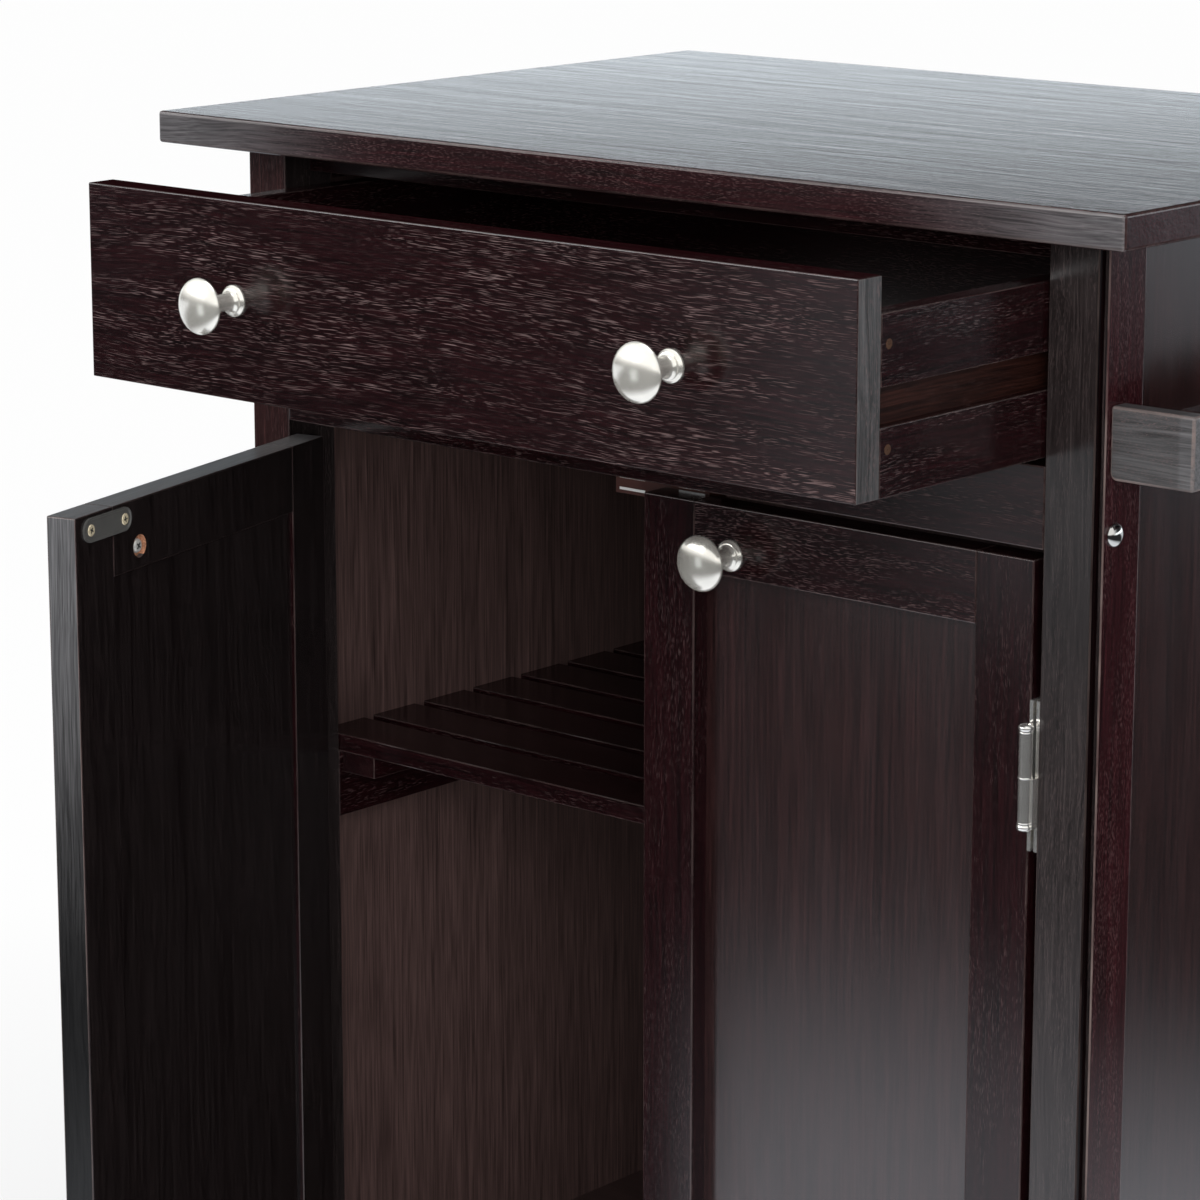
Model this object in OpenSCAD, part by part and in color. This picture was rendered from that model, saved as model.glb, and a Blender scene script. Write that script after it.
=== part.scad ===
// Kitchen cart: drawer over two framed doors, slatted shelf, side handle, four casters.
// Millimetres, +Z up, the cart's front faces -Y. The drawer and the left door stand open, as they rest.

/* [Worktop] */
// Width of the worktop
top_w = 660; // [600:5:800]
// Depth of the worktop
top_d = 470; // [450:5:560]
// Thickness of the worktop
top_t = 18; // [15:0.5:28]
// Chamfer that eases the worktop's edges
top_ease = 1.2; // [0.4:0.2:2]
// How far the worktop reaches past the cabinet on every side
overhang = 35; // [20:1:45]

/* [Cabinet] */
// Height of the cart from the floor to the worktop's surface
cart_h = 864; // [840:2:960]
// Width of a corner post's front face
stile_w = 29; // [26:0.5:40]
// How far the post's side stands proud of its front face
post_proud = 2.5; // [1.5:0.5:4]
// Setback of the proud part behind the front face
post_step = 5.5; // [3:0.5:8]
// Depth of a corner post from front to back
post_d = 37; // [34:1:50]
// Height of the drawer rail and of the front bottom rail
rail_h = 42; // [36:1:56]
// Height of the opening for the drawer
drawer_open_h = 116; // [110:1:150]
// Height of the flat rails under the worktop
top_rail_h = 22; // [20:1:28]
// Height of the side rails that carry the shelf
shelf_rail_h = 40; // [24:1:60]
// Space between the post's lower end and the bottom rails
foot_gap = 14; // [8:1:30]
// Chamfer that eases the edges of the cabinet's boards
board_ease = 0.8; // [0.3:0.1:1.2]
// Thickness of the side and back panels
panel_t = 6; // [4:0.5:8]
// How deep the panels lie behind the posts' outer faces
panel_recess = 10; // [6:0.5:11]
// Depth of the grooves that hold the panels
panel_groove = 6; // [4:0.5:6.5]
// Thickness of the cupboard floor
floor_t = 12; // [9:0.5:18]
// Thickness of the rail behind the drawer front, under the worktop
front_top_rail_t = 16; // [12:0.5:17]
// Depth of that rail
front_top_rail_d = 35; // [25:1:60]

/* [Drawer] */
// How far the drawer stands open at rest
drawer_pull = 150; // [20:5:240]
// Gap between the drawer front and the posts
drawer_side_gap = 1.5; // [1:0.25:3]
// Gap between the drawer front and the drawer rail
drawer_gap_under = 4; // [2:0.5:6]
// Gap between the drawer front and the worktop
drawer_gap_over = 6; // [3:0.5:10]
// Thickness of the drawer front
drawer_front_t = 18; // [15:0.5:20]
// Thickness of the drawer's sides
drawer_side_t = 12.5; // [11:0.5:15]
// Thickness of the drawer's inner front and of its back
drawer_end_t = 12; // [9:0.5:15]
// Height of the drawer's sides
drawer_side_h = 88; // [80:1:90]
// Space between the closed drawer and the back panel
drawer_back_gap = 26; // [6:1:60]
// Thickness of the drawer bottom
drawer_bottom_t = 5; // [3:0.5:6]
// Height of the drawer bottom above the sides' lower edge
drawer_bottom_lift = 8; // [6:0.5:12]
// Depth of the grooves that hold the drawer bottom
bottom_groove = 5; // [3:0.5:5]
// Height of the runner that carries a drawer side
runner_h = 18; // [14:0.5:22]
// Depth of the groove in the drawer side for the runner
runner_groove = 6; // [4:0.5:7]
// Height of the runner groove above the side's lower edge
runner_lift = 34; // [30:1:40]
// Running gap between the runner and its groove
runner_clear = 0.4; // [0.3:0.1:0.8]
// Distance of a drawer knob from the middle
drawer_knob_x = 150; // [90:5:200]
// Gap between the closed drawer and the wood behind its front
drawer_stop_gap = 2; // [1:0.5:4]
// Diameter of the pins at the drawer's corners
pin_d = 5.5; // [3:0.5:6]
// Height of the lower pins above the sides' lower edge
pin_low = 23; // [18:1:26]
// Depth of the upper pins below the sides' upper edge
pin_high = 15; // [8:1:20]
// How far a pin reaches past the side into the drawer's end
pin_bite = 13.5; // [8:0.5:30]

/* [Doors] */
// How far the left door stands open at rest, in degrees
door_open = 75.5; // [10:0.5:90]
// Thickness of a door's frame
door_t = 18; // [16:0.5:20]
// Width of a door's stiles
door_stile_w = 35; // [30:1:50]
// Height of a door's top rail
door_top_rail_h = 38; // [34:1:60]
// Height of a door's bottom rail
door_bottom_rail_h = 45; // [38:1:80]
// Gap between a door's hinge side and the post
door_side_gap = 6; // [5.6:0.1:7]
// Gap above and below a door
door_end_gap = 6; // [3:0.5:8]
// Gap between the two doors
door_mid_gap = 8; // [4:0.5:10]
// How far a door's face lies behind the posts' front faces
door_setback = 1; // [0.5:0.25:2]
// Thickness of a door's panel
door_panel_t = 4.5; // [3:0.5:6]
// How deep the panel lies behind the door's face
door_panel_recess = 11; // [6:0.5:11]
// Depth of the grooves that hold the door's panel
door_groove = 6; // [4:0.5:8]
// Distance of a door knob from the door's free edge
door_knob_in = 60; // [45:1:80]
// Distance of a door knob below the door's upper edge
door_knob_down = 26; // [20:1:28]

/* [Knobs] */
// Diameter of a knob's head
knob_d = 30; // [24:0.5:34]
// Diameter of a knob's base
knob_base_d = 17; // [14:0.5:19]
// How far a knob stands out
knob_l = 31; // [28:0.5:36]
// Height of the dome on a knob's head
knob_dome = 6; // [3:0.5:8]
// Diameter of a knob's screw
knob_screw_d = 4; // [3:0.5:5]
// Diameter of the counterbore for the head of a knob's screw
knob_sink_d = 12.5; // [10:0.5:14]
// Depth of that counterbore
knob_sink = 3; // [2.5:0.25:4]

/* [Hinges] */
// Height of a hinge leaf
leaf_h = 78; // [70:1:90]
// Thickness of a hinge leaf
leaf_t = 2; // [1.5:0.1:2.2]
// Width of the leaf on the post
frame_leaf_w = 24; // [16:1:28]
// Width of the leaf on the door's edge
door_leaf_w = 15; // [11:0.5:15]
// Length of the hinge's barrel
barrel_h = 52; // [40:1:60]
// Diameter of the hinge's barrel
barrel_d = 7; // [6.6:0.1:7.4]
// Diameter of the hinge pin
hinge_pin_d = 3.6; // [3:0.1:4]
// Distance of the hinge pin from the post
pin_side = 4.8; // [4.5:0.1:5]
// How far the hinge pin lies in front of the posts' front faces
pin_front = 4.2; // [4.1:0.1:5]
// Distance of a hinge's middle from the door's end
hinge_in = 110; // [80:5:140]

/* [Magnetic catch] */
// Width of the catch's case with its ears
catch_w = 82; // [76:1:90]
// Height of the catch's case
catch_h = 14; // [10:0.5:16]
// Depth of the catch's case
catch_d = 14; // [10:0.5:16]
// Length of a strike plate
strike_l = 45; // [40:1:50]
// Height of a strike plate
strike_h = 13; // [9:0.5:13]
// Thickness of a strike plate
strike_t = 1.2; // [0.8:0.1:1.5]
// Distance of a strike plate's middle from the door's free edge
strike_in = 29; // [26:1:33]
// Distance of a strike plate's middle below the door's upper edge
strike_down = 8.5; // [7:0.5:10]

/* [Shelf] */
// Depth from the worktop's surface to the shelf's surface
shelf_down = 369.5; // [330:0.5:440]
// Number of slats
slat_n = 7; // [3:1:7]
// Width of a slat
slat_w = 36; // [24:1:36]
// Gap between two slats
slat_gap = 8; // [5:0.5:9]
// Thickness of a slat
slat_t = 11; // [8:0.5:15]
// Width of the battens under the slats
batten_w = 26; // [15:1:40]
// Height of the battens under the slats
batten_h = 13; // [8:0.5:18]

/* [Side handle] */
// How far the handle reaches out from the post
handle_reach = 48; // [40:1:70]
// Height of the handle
handle_h = 37; // [28:1:50]
// Thickness of the handle's brackets
bracket_t = 12; // [10:0.5:16]
// Depth from the worktop's surface to the handle's upper edge
handle_down = 101; // [80:1:105]
// Thickness of the handle's rail
handle_rail_t = 18; // [12:0.5:20]
// Distance of the front bracket's middle from the cabinet's front
handle_front_in = 15.3; // [14:0.1:18]
// Distance of the rear bracket's middle from the cabinet's back
handle_back_in = 22; // [21:0.5:26]
// Radius of the brackets' lower inner corner
bracket_r = 9; // [4:0.5:14]

/* [Casters] */
// Height of a caster below the post
caster_h = 76; // [74:1:90]
// Diameter of a wheel
wheel_d = 60; // [50:1:62]
// Width of a wheel's tread
wheel_w = 20; // [16:0.5:24]
// How far the wheel trails its swivel
caster_trail = 20; // [16:0.5:24]
// Diameter of a wheel's axle
axle_d = 8; // [6:0.5:10]
// Diameter of a caster's stem
stem_d = 9.4; // [8:0.2:10]
// Length of the stem inside the post
stem_l = 26; // [20:1:28]
// Diameter of the threaded insert around the stem
insert_d = 12.4; // [12:0.2:14]
// Length of the threaded insert
insert_l = 30; // [29:1:34]
// Thickness of a fork's sheet
fork_t = 2.2; // [1.6:0.1:3]

/* [Fasteners] */
// Diameter of the bolts that hold the rails to the posts
bolt_d = 6; // [5:0.5:7]
// Length of those bolts under the head
bolt_l = 56; // [46:1:70]
// Diameter of a bolt's dome head
bolt_head_d = 12; // [10:0.5:14]
// Height of a bolt's dome head
bolt_head_h = 4; // [3:0.25:5]
// Diameter of the wood screws
screw_d = 3.2; // [2.8:0.1:4]
// Diameter of the wood screws' heads
screw_head_d = 6.4; // [5.8:0.1:7]
// Distance of the front bolts behind the posts' front faces
bolt_in = 14.3; // [12:0.1:20]
// Height of the drawer rail's bolts above its lower edge
bolt_up = 10; // [8:0.5:20]
// Space between the caster's insert and the bolts above it
bolt_clear = 8; // [5:0.5:10]
// Distance of the worktop's screws from the middle
top_screw_x = 180; // [60:5:220]
// Distance of the worktop's side screws from the posts
top_screw_in = 60; // [30:5:120]
// How far a screw's tip stays below the worktop's surface
screw_cover = 6; // [4:0.5:9]
// Length of the screws in the hinges' leaves
hinge_screw_l = 18; // [14:1:22]
// Length of the screws that hold a drawer runner
runner_screw_l = 22; // [16:1:26]
// Distance of a runner's screws from its ends
runner_screw_in = 10; // [8:1:20]
// Length of the strike plates' screws
strike_screw_l = 12; // [8:1:15]
// Length of the catch's screws
catch_screw_l = 16; // [10:1:24]
// How far a handle's screw reaches into its bracket
handle_screw_bite = 22; // [15:1:30]

/* [Hidden] */
$fn = 48;

// Clearances: a running fit on the radius, a seat fit on the radius, and a gap between parts that pass
run_clear = 0.05;
seat_clear = 0.02;
gap = 0.4;

// Cabinet faces and levels
cab_x = top_w / 2 - overhang;
stile_out = cab_x - post_proud;
stile_in = stile_out - stile_w;
front_y = overhang;
back_y = top_d - overhang;
front_post_back = front_y + post_d;
rear_post_front = back_y - post_d;
under_top = cart_h - top_t;
rail_top = under_top - drawer_open_h;
rail_low = rail_top - rail_h;
post_low = caster_h;
base_low = post_low + foot_gap;
base_top = base_low + rail_h;
floor_low = base_top - floor_t;
panel_out = cab_x - panel_recess;
panel_in = panel_out - panel_t;
back_panel_y = back_y - panel_recess - panel_t;

// Drawer, at its closed place
drawer_x = stile_in - drawer_side_gap;
drawer_low = rail_top + drawer_gap_under;
drawer_high = under_top - drawer_gap_over;
box_y = front_y + drawer_front_t;
box_back = back_panel_y - drawer_back_gap;
side_in = drawer_x - drawer_side_t;
drawer_mid = (drawer_low + drawer_high) / 2;
bottom_z = drawer_low + drawer_bottom_lift;
groove_low = drawer_low + runner_lift;
groove_high = groove_low + runner_h + 2 * runner_clear;
runner_low = groove_low + runner_clear;
pin_l = drawer_side_t + pin_bite;
knob_reach = 12;

// Left door, at its closed place; the right one is its mirror image
hinge_x = -stile_in + pin_side;
hinge_y = front_y - pin_front;
door_hung = -stile_in + door_side_gap;
door_free = -door_mid_gap / 2;
door_w = door_free - door_hung;
door_front = front_y + door_setback;
door_back = door_front + door_t;
door_high = rail_low - door_end_gap;
door_low = base_top + door_end_gap;
hinge_levels = [door_low + hinge_in, door_high - hinge_in];
panel_front = door_front + door_panel_recess;
knob_x = door_free - door_knob_in;
knob_z = door_high - door_knob_down;
leaf_front = hinge_y + barrel_d / 2 + gap + 0.6;
leaf_screw_z = barrel_h / 2 + (leaf_h - barrel_h) / 4;
strike_screw = strike_l / 2 - strike_h / 2;

// Shelf
shelf_top = cart_h - shelf_down;
slat_low = shelf_top - slat_t;
shelf_x = panel_in - gap;
slat_pitch = slat_w + slat_gap;
shelf_front = front_post_back + gap;
shelf_back = shelf_front + slat_n * slat_pitch - slat_gap;

// Side handle
handle_out = cab_x + handle_reach;
handle_high = cart_h - handle_down;
handle_low = handle_high - handle_h;
bracket_front = front_y + handle_front_in;
bracket_rear = back_y - handle_back_in;
handle_peg_d = 8;
handle_peg_l = 7;
handle_screw_l = cab_x - stile_in + handle_screw_bite;

// Casters
swivel_x = (stile_in + cab_x) / 2;
swivels = [
    [-swivel_x, front_y + post_d / 2],
    [swivel_x, front_y + post_d / 2],
    [-swivel_x, back_y - post_d / 2],
    [swivel_x, back_y - post_d / 2]
];
flange_t = 2.5;
flange_d = 24;
plate_t = 3;
plate_high = caster_h - flange_t - gap;
plate_low = plate_high - plate_t;
rivet_t = 2;
rivet_d = 15;
plate_d = 32;
hub_w = wheel_w + 2;
fork_in = hub_w / 2 + gap;
fork_out = fork_in + fork_t;
axle_z = wheel_d / 2;
cheek_end_d = 18;
lever_y = caster_trail + 8;
lever_z = wheel_d + 5;
lever_pin_d = 4;
lever_press = 14;
lever_l = 34;

// Bolts through the posts into the rails
front_bolt_y = front_y + bolt_in;
rear_bolt_y = (rear_post_front + back_panel_y) / 2;
drawer_rail_bolt_z = rail_low + bolt_up;
base_bolt_z = post_low + insert_l + bolt_clear;
top_bolt_z = under_top - top_rail_h / 2;
bolts = [
    [front_bolt_y, drawer_rail_bolt_z],
    [front_bolt_y, base_bolt_z],
    [rear_bolt_y, top_bolt_z],
    [rear_bolt_y, base_bolt_z]
];
runner_front = box_y + drawer_stop_gap;
runner_back = back_panel_y - gap;
runner_screw_y = [runner_front + runner_screw_in, runner_back - runner_screw_in];
top_screw_y = [front_post_back + top_screw_in, rear_post_front - top_screw_in];

// The origin lies at the bottom of the middle of the whole cart, with drawer and door open
open_corner = hinge_y - (door_free - hinge_x) * sin(door_open)
    + (door_front + board_ease - hinge_y) * cos(door_open);
open_knob = hinge_y - (knob_x - hinge_x) * sin(door_open) + (door_front - knob_l - hinge_y) * cos(door_open);
drawer_tip = front_y - drawer_pull - knob_l;
origin_x = (max(handle_out, top_w / 2) - top_w / 2) / 2;
origin_y = (min(open_corner, open_knob, drawer_tip) + top_d) / 2;

// Shared shapes

// A plain box between two corners
module box(low, high) {
    translate(low) cube(high - low);
}

module eased_outline(a, b, e) {
    polygon([[e, 0], [a - e, 0], [a, e], [a, b - e], [a - e, b], [e, b], [0, b - e], [0, e]]);
}

// A board between two corners with all its edges eased
module board(low, high, e = board_ease) {
    s = high - low;
    translate(low) intersection() {
        linear_extrude(s.z) eased_outline(s.x, s.y, e);
        translate([0, s.y, 0]) rotate([90, 0, 0]) linear_extrude(s.y) eased_outline(s.x, s.z, e);
        rotate([90, 0, 90]) linear_extrude(s.x) eased_outline(s.y, s.z, e);
    }
}

// The same shape on the left and on the right
module both_sides() {
    children();
    mirror([1, 0, 0]) children();
}

// A round bar that runs from a point towards +X
module bar_x(from, d, l) {
    translate(from) rotate([0, 90, 0]) cylinder(d = d, h = l);
}

// A countersunk wood screw whose head lies flush at the origin and whose shank runs down
module wood_screw(l, extra = 0) {
    d = screw_d + extra;
    head = screw_head_d + extra;
    translate([0, 0, -l]) cylinder(d = d, h = l);
    translate([0, 0, -(head - d) / 2]) cylinder(d1 = d, d2 = head, h = (head - d) / 2);
}

// Turned from the floor plan into the directions that the screws take
module towards_x() {
    rotate([0, 90, 0]) children();
}

module towards_minus_x() {
    rotate([0, -90, 0]) children();
}

// Worktop and posts

module top_screws(extra = 0) {
    both_sides() {
        for (y = top_screw_y)
            translate([(stile_in + panel_in) / 2, y, under_top - top_rail_h]) rotate([180, 0, 0])
                wood_screw(top_rail_h + top_t - screw_cover, extra);
        translate([top_screw_x, runner_front + front_top_rail_d / 2, under_top - front_top_rail_t])
            rotate([180, 0, 0]) wood_screw(front_top_rail_t + top_t - screw_cover, extra);
        translate([top_screw_x, rear_bolt_y, under_top - top_rail_h]) rotate([180, 0, 0])
            wood_screw(top_rail_h + top_t - screw_cover, extra);
    }
}

module worktop() {
    color("#4a4f57") difference() {
        board([-top_w / 2, 0, under_top], [top_w / 2, top_d, cart_h], top_ease);
        top_screws(seat_clear);
    }
}

// Section of the right front post, with the step at its outer corner and the groove for the side panel
module post_section() {
    e = board_ease;
    difference() {
        polygon([
            [stile_in + e, 0], [stile_out, 0], [stile_out, post_step], [cab_x - e, post_step],
            [cab_x, post_step + e], [cab_x, post_d - e], [cab_x - e, post_d], [stile_in + e, post_d],
            [stile_in, post_d - e], [stile_in, e]
        ]);
        translate([panel_in, post_d - panel_groove]) square([panel_t, panel_groove + 1]);
    }
}

module frame_bolt_shanks(extra = 0) {
    both_sides() for (b = bolts)
        bar_x([cab_x - bolt_l, b.x, b.y], bolt_d + extra, bolt_l + 1);
}

module insert_holes() {
    for (s = swivels)
        translate([s.x, s.y, post_low - 1]) cylinder(d = insert_d, h = insert_l + 1);
}

// Screws that hold a handle bracket from inside the post
module handle_screws(extra = 0) {
    for (y = [bracket_front, bracket_rear], z = [handle_low + handle_h / 4, handle_high - handle_h / 4])
        translate([stile_in, y, z]) towards_minus_x() wood_screw(handle_screw_l, extra);
}

module runner_screws(extra = 0) {
    both_sides() for (y = runner_screw_y)
        translate([drawer_x - runner_groove + gap, y, runner_low + runner_h / 2])
            towards_minus_x() wood_screw(runner_screw_l, extra);
}

module frame_leaf_screws(extra = 0) {
    both_sides() for (z = hinge_levels, s = [-1, 1])
        translate([stile_in - leaf_t, leaf_front + frame_leaf_w / 2, z + s * leaf_screw_z])
            towards_minus_x() wood_screw(hinge_screw_l, extra);
}

module front_posts() {
    color("#3a3434") difference() {
        both_sides() translate([0, front_y, post_low]) linear_extrude(under_top - post_low) post_section();
        frame_bolt_shanks(seat_clear);
        insert_holes();
        handle_screws(seat_clear);
        runner_screws(seat_clear);
        frame_leaf_screws(seat_clear);
    }
}

module rear_posts() {
    color("#3a3434") difference() {
        both_sides() translate([0, back_y, post_low]) mirror([0, 1, 0])
            linear_extrude(under_top - post_low) post_section();
        both_sides() box([stile_in - 1, back_panel_y, base_low],
            [stile_in + panel_groove, back_panel_y + panel_t, under_top + 1]);
        frame_bolt_shanks(seat_clear);
        insert_holes();
        handle_screws(seat_clear);
        runner_screws(seat_clear);
    }
}

// Panels, rails and floor

module side_panels() {
    color("#43393a") both_sides() box([panel_in, front_post_back - panel_groove, base_low],
        [panel_out, rear_post_front + panel_groove, under_top]);
}

module back_panel() {
    color("#43393a") box([-stile_in - panel_groove, back_panel_y, base_low],
        [stile_in + panel_groove, back_panel_y + panel_t, under_top]);
}

// A pair of rails behind the side panels, flush with the posts' inner faces
module side_rail_pair(low, high) {
    both_sides() box([stile_in, front_post_back, low], [panel_in, rear_post_front, high]);
}

module side_top_rails() {
    color("#352e2e") difference() {
        side_rail_pair(under_top - top_rail_h, under_top);
        top_screws(seat_clear);
    }
}

module side_shelf_rails() {
    color("#352e2e") side_rail_pair(slat_low - shelf_rail_h, slat_low);
}

module side_bottom_rails() {
    color("#352e2e") side_rail_pair(base_low, floor_low);
}

module front_top_rail() {
    color("#352e2e") difference() {
        box([-stile_in, runner_front, under_top - front_top_rail_t],
            [stile_in, runner_front + front_top_rail_d, under_top]);
        top_screws(seat_clear);
    }
}

// A rail between the front posts, eased along its length
module front_rail(low) {
    difference() {
        translate([-stile_in, front_y, low]) rotate([90, 0, 90]) linear_extrude(2 * stile_in)
            eased_outline(post_d, rail_h, board_ease);
        frame_bolt_shanks(seat_clear);
        children();
    }
}

module drawer_rail() {
    color("#3a3434") front_rail(rail_low) catch_screws(seat_clear);
}

module front_bottom_rail() {
    color("#3a3434") front_rail(base_low);
}

module back_rails() {
    color("#352e2e") difference() {
        union() {
            box([-stile_in, rear_post_front, under_top - top_rail_h], [stile_in, back_panel_y, under_top]);
            box([-stile_in, rear_post_front, base_low], [stile_in, back_panel_y, floor_low]);
        }
        frame_bolt_shanks(seat_clear);
        top_screws(seat_clear);
    }
}

module cupboard_floor() {
    color("#43393a") translate([0, 0, floor_low]) linear_extrude(floor_t) union() {
        translate([-panel_in, front_post_back]) square([2 * panel_in, rear_post_front - front_post_back]);
        translate([-stile_in, front_post_back]) square([2 * stile_in, back_panel_y - front_post_back]);
    }
}

module drawer_runners() {
    color("#57453a") difference() {
        both_sides() box([drawer_x - runner_groove + gap, runner_front, runner_low],
            [stile_in, runner_back, runner_low + runner_h]);
        runner_screws(seat_clear);
    }
}

// Shelf

module shelf_slats() {
    color("#4a3c3b") for (i = [0 : slat_n - 1])
        board([-shelf_x, shelf_front + i * slat_pitch, slat_low],
            [shelf_x, shelf_front + i * slat_pitch + slat_w, shelf_top]);
}

module shelf_battens() {
    color("#352e2e") both_sides() box([stile_in - gap - batten_w, shelf_front + 2, slat_low - batten_h],
        [stile_in - gap, shelf_back - 2, slat_low]);
}

// Magnetic catch and strike plates

catch_y = door_back + strike_t + 0.8;
catch_ear_w = 8;
catch_ear_t = 4;
pole_w = 18;
pole_t = 1.4;
pole_out = 0.5;
magnet_x = catch_w / 2 - catch_ear_w - pole_w / 2 - 3;

module catch_screws(extra = 0) {
    both_sides() translate([catch_w / 2 - catch_ear_w / 2, catch_y + catch_d / 2, rail_low - catch_ear_t])
        rotate([180, 0, 0]) wood_screw(catch_screw_l, extra);
}

// Slots of the four steel poles in the case's front
module pole_blocks(grow) {
    both_sides() for (z = [rail_low - catch_h + 2, rail_low - catch_ear_t - pole_t])
        box([magnet_x - pole_w / 2, catch_y - grow, z], [magnet_x + pole_w / 2, catch_y + catch_d - 3, z + pole_t]);
}

module catch_case() {
    color("#5a3a24") difference() {
        union() {
            box([-catch_w / 2, catch_y, rail_low - catch_ear_t], [catch_w / 2, catch_y + catch_d, rail_low]);
            box([-catch_w / 2 + catch_ear_w, catch_y, rail_low - catch_h],
                [catch_w / 2 - catch_ear_w, catch_y + catch_d, rail_low]);
        }
        pole_blocks(1);
        catch_screws(seat_clear);
    }
}

module catch_poles() {
    color("#9a9a98") pole_blocks(pole_out);
}

module strike_screws(extra = 0) {
    for (s = [-1, 1])
        translate([door_free - strike_in + s * strike_screw, door_back + strike_t, door_high - strike_down])
            rotate([-90, 0, 0]) wood_screw(strike_screw_l, extra);
}

module strike_plate() {
    difference() {
        translate([door_free - strike_in, door_back + strike_t, door_high - strike_down]) rotate([90, 0, 0])
            linear_extrude(strike_t) union() {
                square([strike_l - strike_h, strike_h], center = true);
                for (s = [-1, 1]) translate([s * (strike_l - strike_h) / 2, 0]) circle(d = strike_h);
            }
        strike_screws(seat_clear);
    }
}

// Hinges: the barrel's lower half and its pin belong to the post's leaf, the upper half to the door's

module hinge_pin_at(z, d, low, high) {
    translate([hinge_x, hinge_y, z + low]) cylinder(d = d, h = high - low);
}

module frame_leaf(z) {
    difference() {
        union() {
            box([-stile_in, leaf_front, z - leaf_h / 2],
                [-stile_in + leaf_t, leaf_front + frame_leaf_w, z + leaf_h / 2]);
            box([-stile_in, hinge_y, z - barrel_h / 2], [-stile_in + leaf_t, leaf_front + 1, z - gap / 2]);
            hinge_pin_at(z, barrel_d, -barrel_h / 2, -gap / 2);
        }
        hinge_pin_at(z, hinge_pin_d + 2 * seat_clear, -barrel_h / 2 - 1, barrel_h);
    }
}

module hinge_frame_leaves() {
    color("#b5b0a6") difference() {
        both_sides() for (z = hinge_levels) frame_leaf(z);
        frame_leaf_screws(seat_clear);
    }
}

module hinge_pins() {
    color("#c4c0b8") both_sides() for (z = hinge_levels) {
        hinge_pin_at(z, hinge_pin_d, -barrel_h / 2, barrel_h / 2 + gap);
        hinge_pin_at(z, barrel_d - 0.6, -barrel_h / 2 - 1.6, -barrel_h / 2);
        hinge_pin_at(z, barrel_d - 0.6, barrel_h / 2 + gap, barrel_h / 2 + gap + 1.6);
    }
}

module door_leaf_screws(extra = 0) {
    for (z = hinge_levels, s = [-1, 1])
        translate([door_hung - leaf_t, leaf_front + door_leaf_w / 2, z + s * leaf_screw_z])
            towards_minus_x() wood_screw(hinge_screw_l, extra);
}

module door_leaf(z) {
    difference() {
        union() {
            box([door_hung - leaf_t, leaf_front, z - leaf_h / 2],
                [door_hung, leaf_front + door_leaf_w, z + leaf_h / 2]);
            box([door_hung - leaf_t, hinge_y, z + gap / 2], [door_hung, leaf_front + 1, z + barrel_h / 2]);
            hinge_pin_at(z, barrel_d, gap / 2, barrel_h / 2);
        }
        hinge_pin_at(z, hinge_pin_d + 2 * run_clear, -1, barrel_h);
    }
}

module hinge_leaves() {
    difference() {
        for (z = hinge_levels) door_leaf(z);
        door_leaf_screws(seat_clear);
    }
}

// Doors

// Swings what is drawn at the left door's closed place out to where it rests
module left_door_rest() {
    translate([hinge_x, hinge_y, 0]) rotate([0, 0, -door_open]) translate([-hinge_x, -hinge_y, 0]) children();
}

module right_door_rest() {
    mirror([1, 0, 0]) children();
}

module door_knob_screw(extra = 0) {
    translate([knob_x, door_front - knob_reach, knob_z]) rotate([-90, 0, 0])
        cylinder(d = knob_screw_d + extra, h = knob_reach + door_t - knob_sink);
    translate([knob_x, door_back - knob_sink, knob_z]) rotate([-90, 0, 0])
        cylinder(d = knob_screw_d * 2 + extra, h = 2.4);
}

module door_frame() {
    inner_low = door_low + door_bottom_rail_h;
    inner_high = door_high - door_top_rail_h;
    difference() {
        union() {
            board([door_hung, door_front, door_low], [door_hung + door_stile_w, door_back, door_high]);
            board([door_free - door_stile_w, door_front, door_low], [door_free, door_back, door_high]);
            for (z = [[door_low, inner_low], [inner_high, door_high]])
                translate([door_hung + door_stile_w, door_front, z[0]]) rotate([90, 0, 90])
                    linear_extrude(door_w - 2 * door_stile_w) eased_outline(door_t, z[1] - z[0], board_ease);
        }
        box([door_hung + door_stile_w - door_groove, panel_front, inner_low - door_groove],
            [door_free - door_stile_w + door_groove, panel_front + door_panel_t, inner_high + door_groove]);
        translate([knob_x, door_front - 1, knob_z]) rotate([-90, 0, 0])
            cylinder(d = knob_screw_d + seat_clear, h = door_t + 2);
        translate([knob_x, door_back - knob_sink, knob_z]) rotate([-90, 0, 0])
            cylinder(d = knob_sink_d, h = knob_sink + 1);
        strike_screws(seat_clear);
        door_leaf_screws(seat_clear);
    }
}

module door_panel() {
    box([door_hung + door_stile_w - door_groove, panel_front, door_low + door_bottom_rail_h - door_groove],
        [door_free - door_stile_w + door_groove, panel_front + door_panel_t,
         door_high - door_top_rail_h + door_groove]);
}

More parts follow.
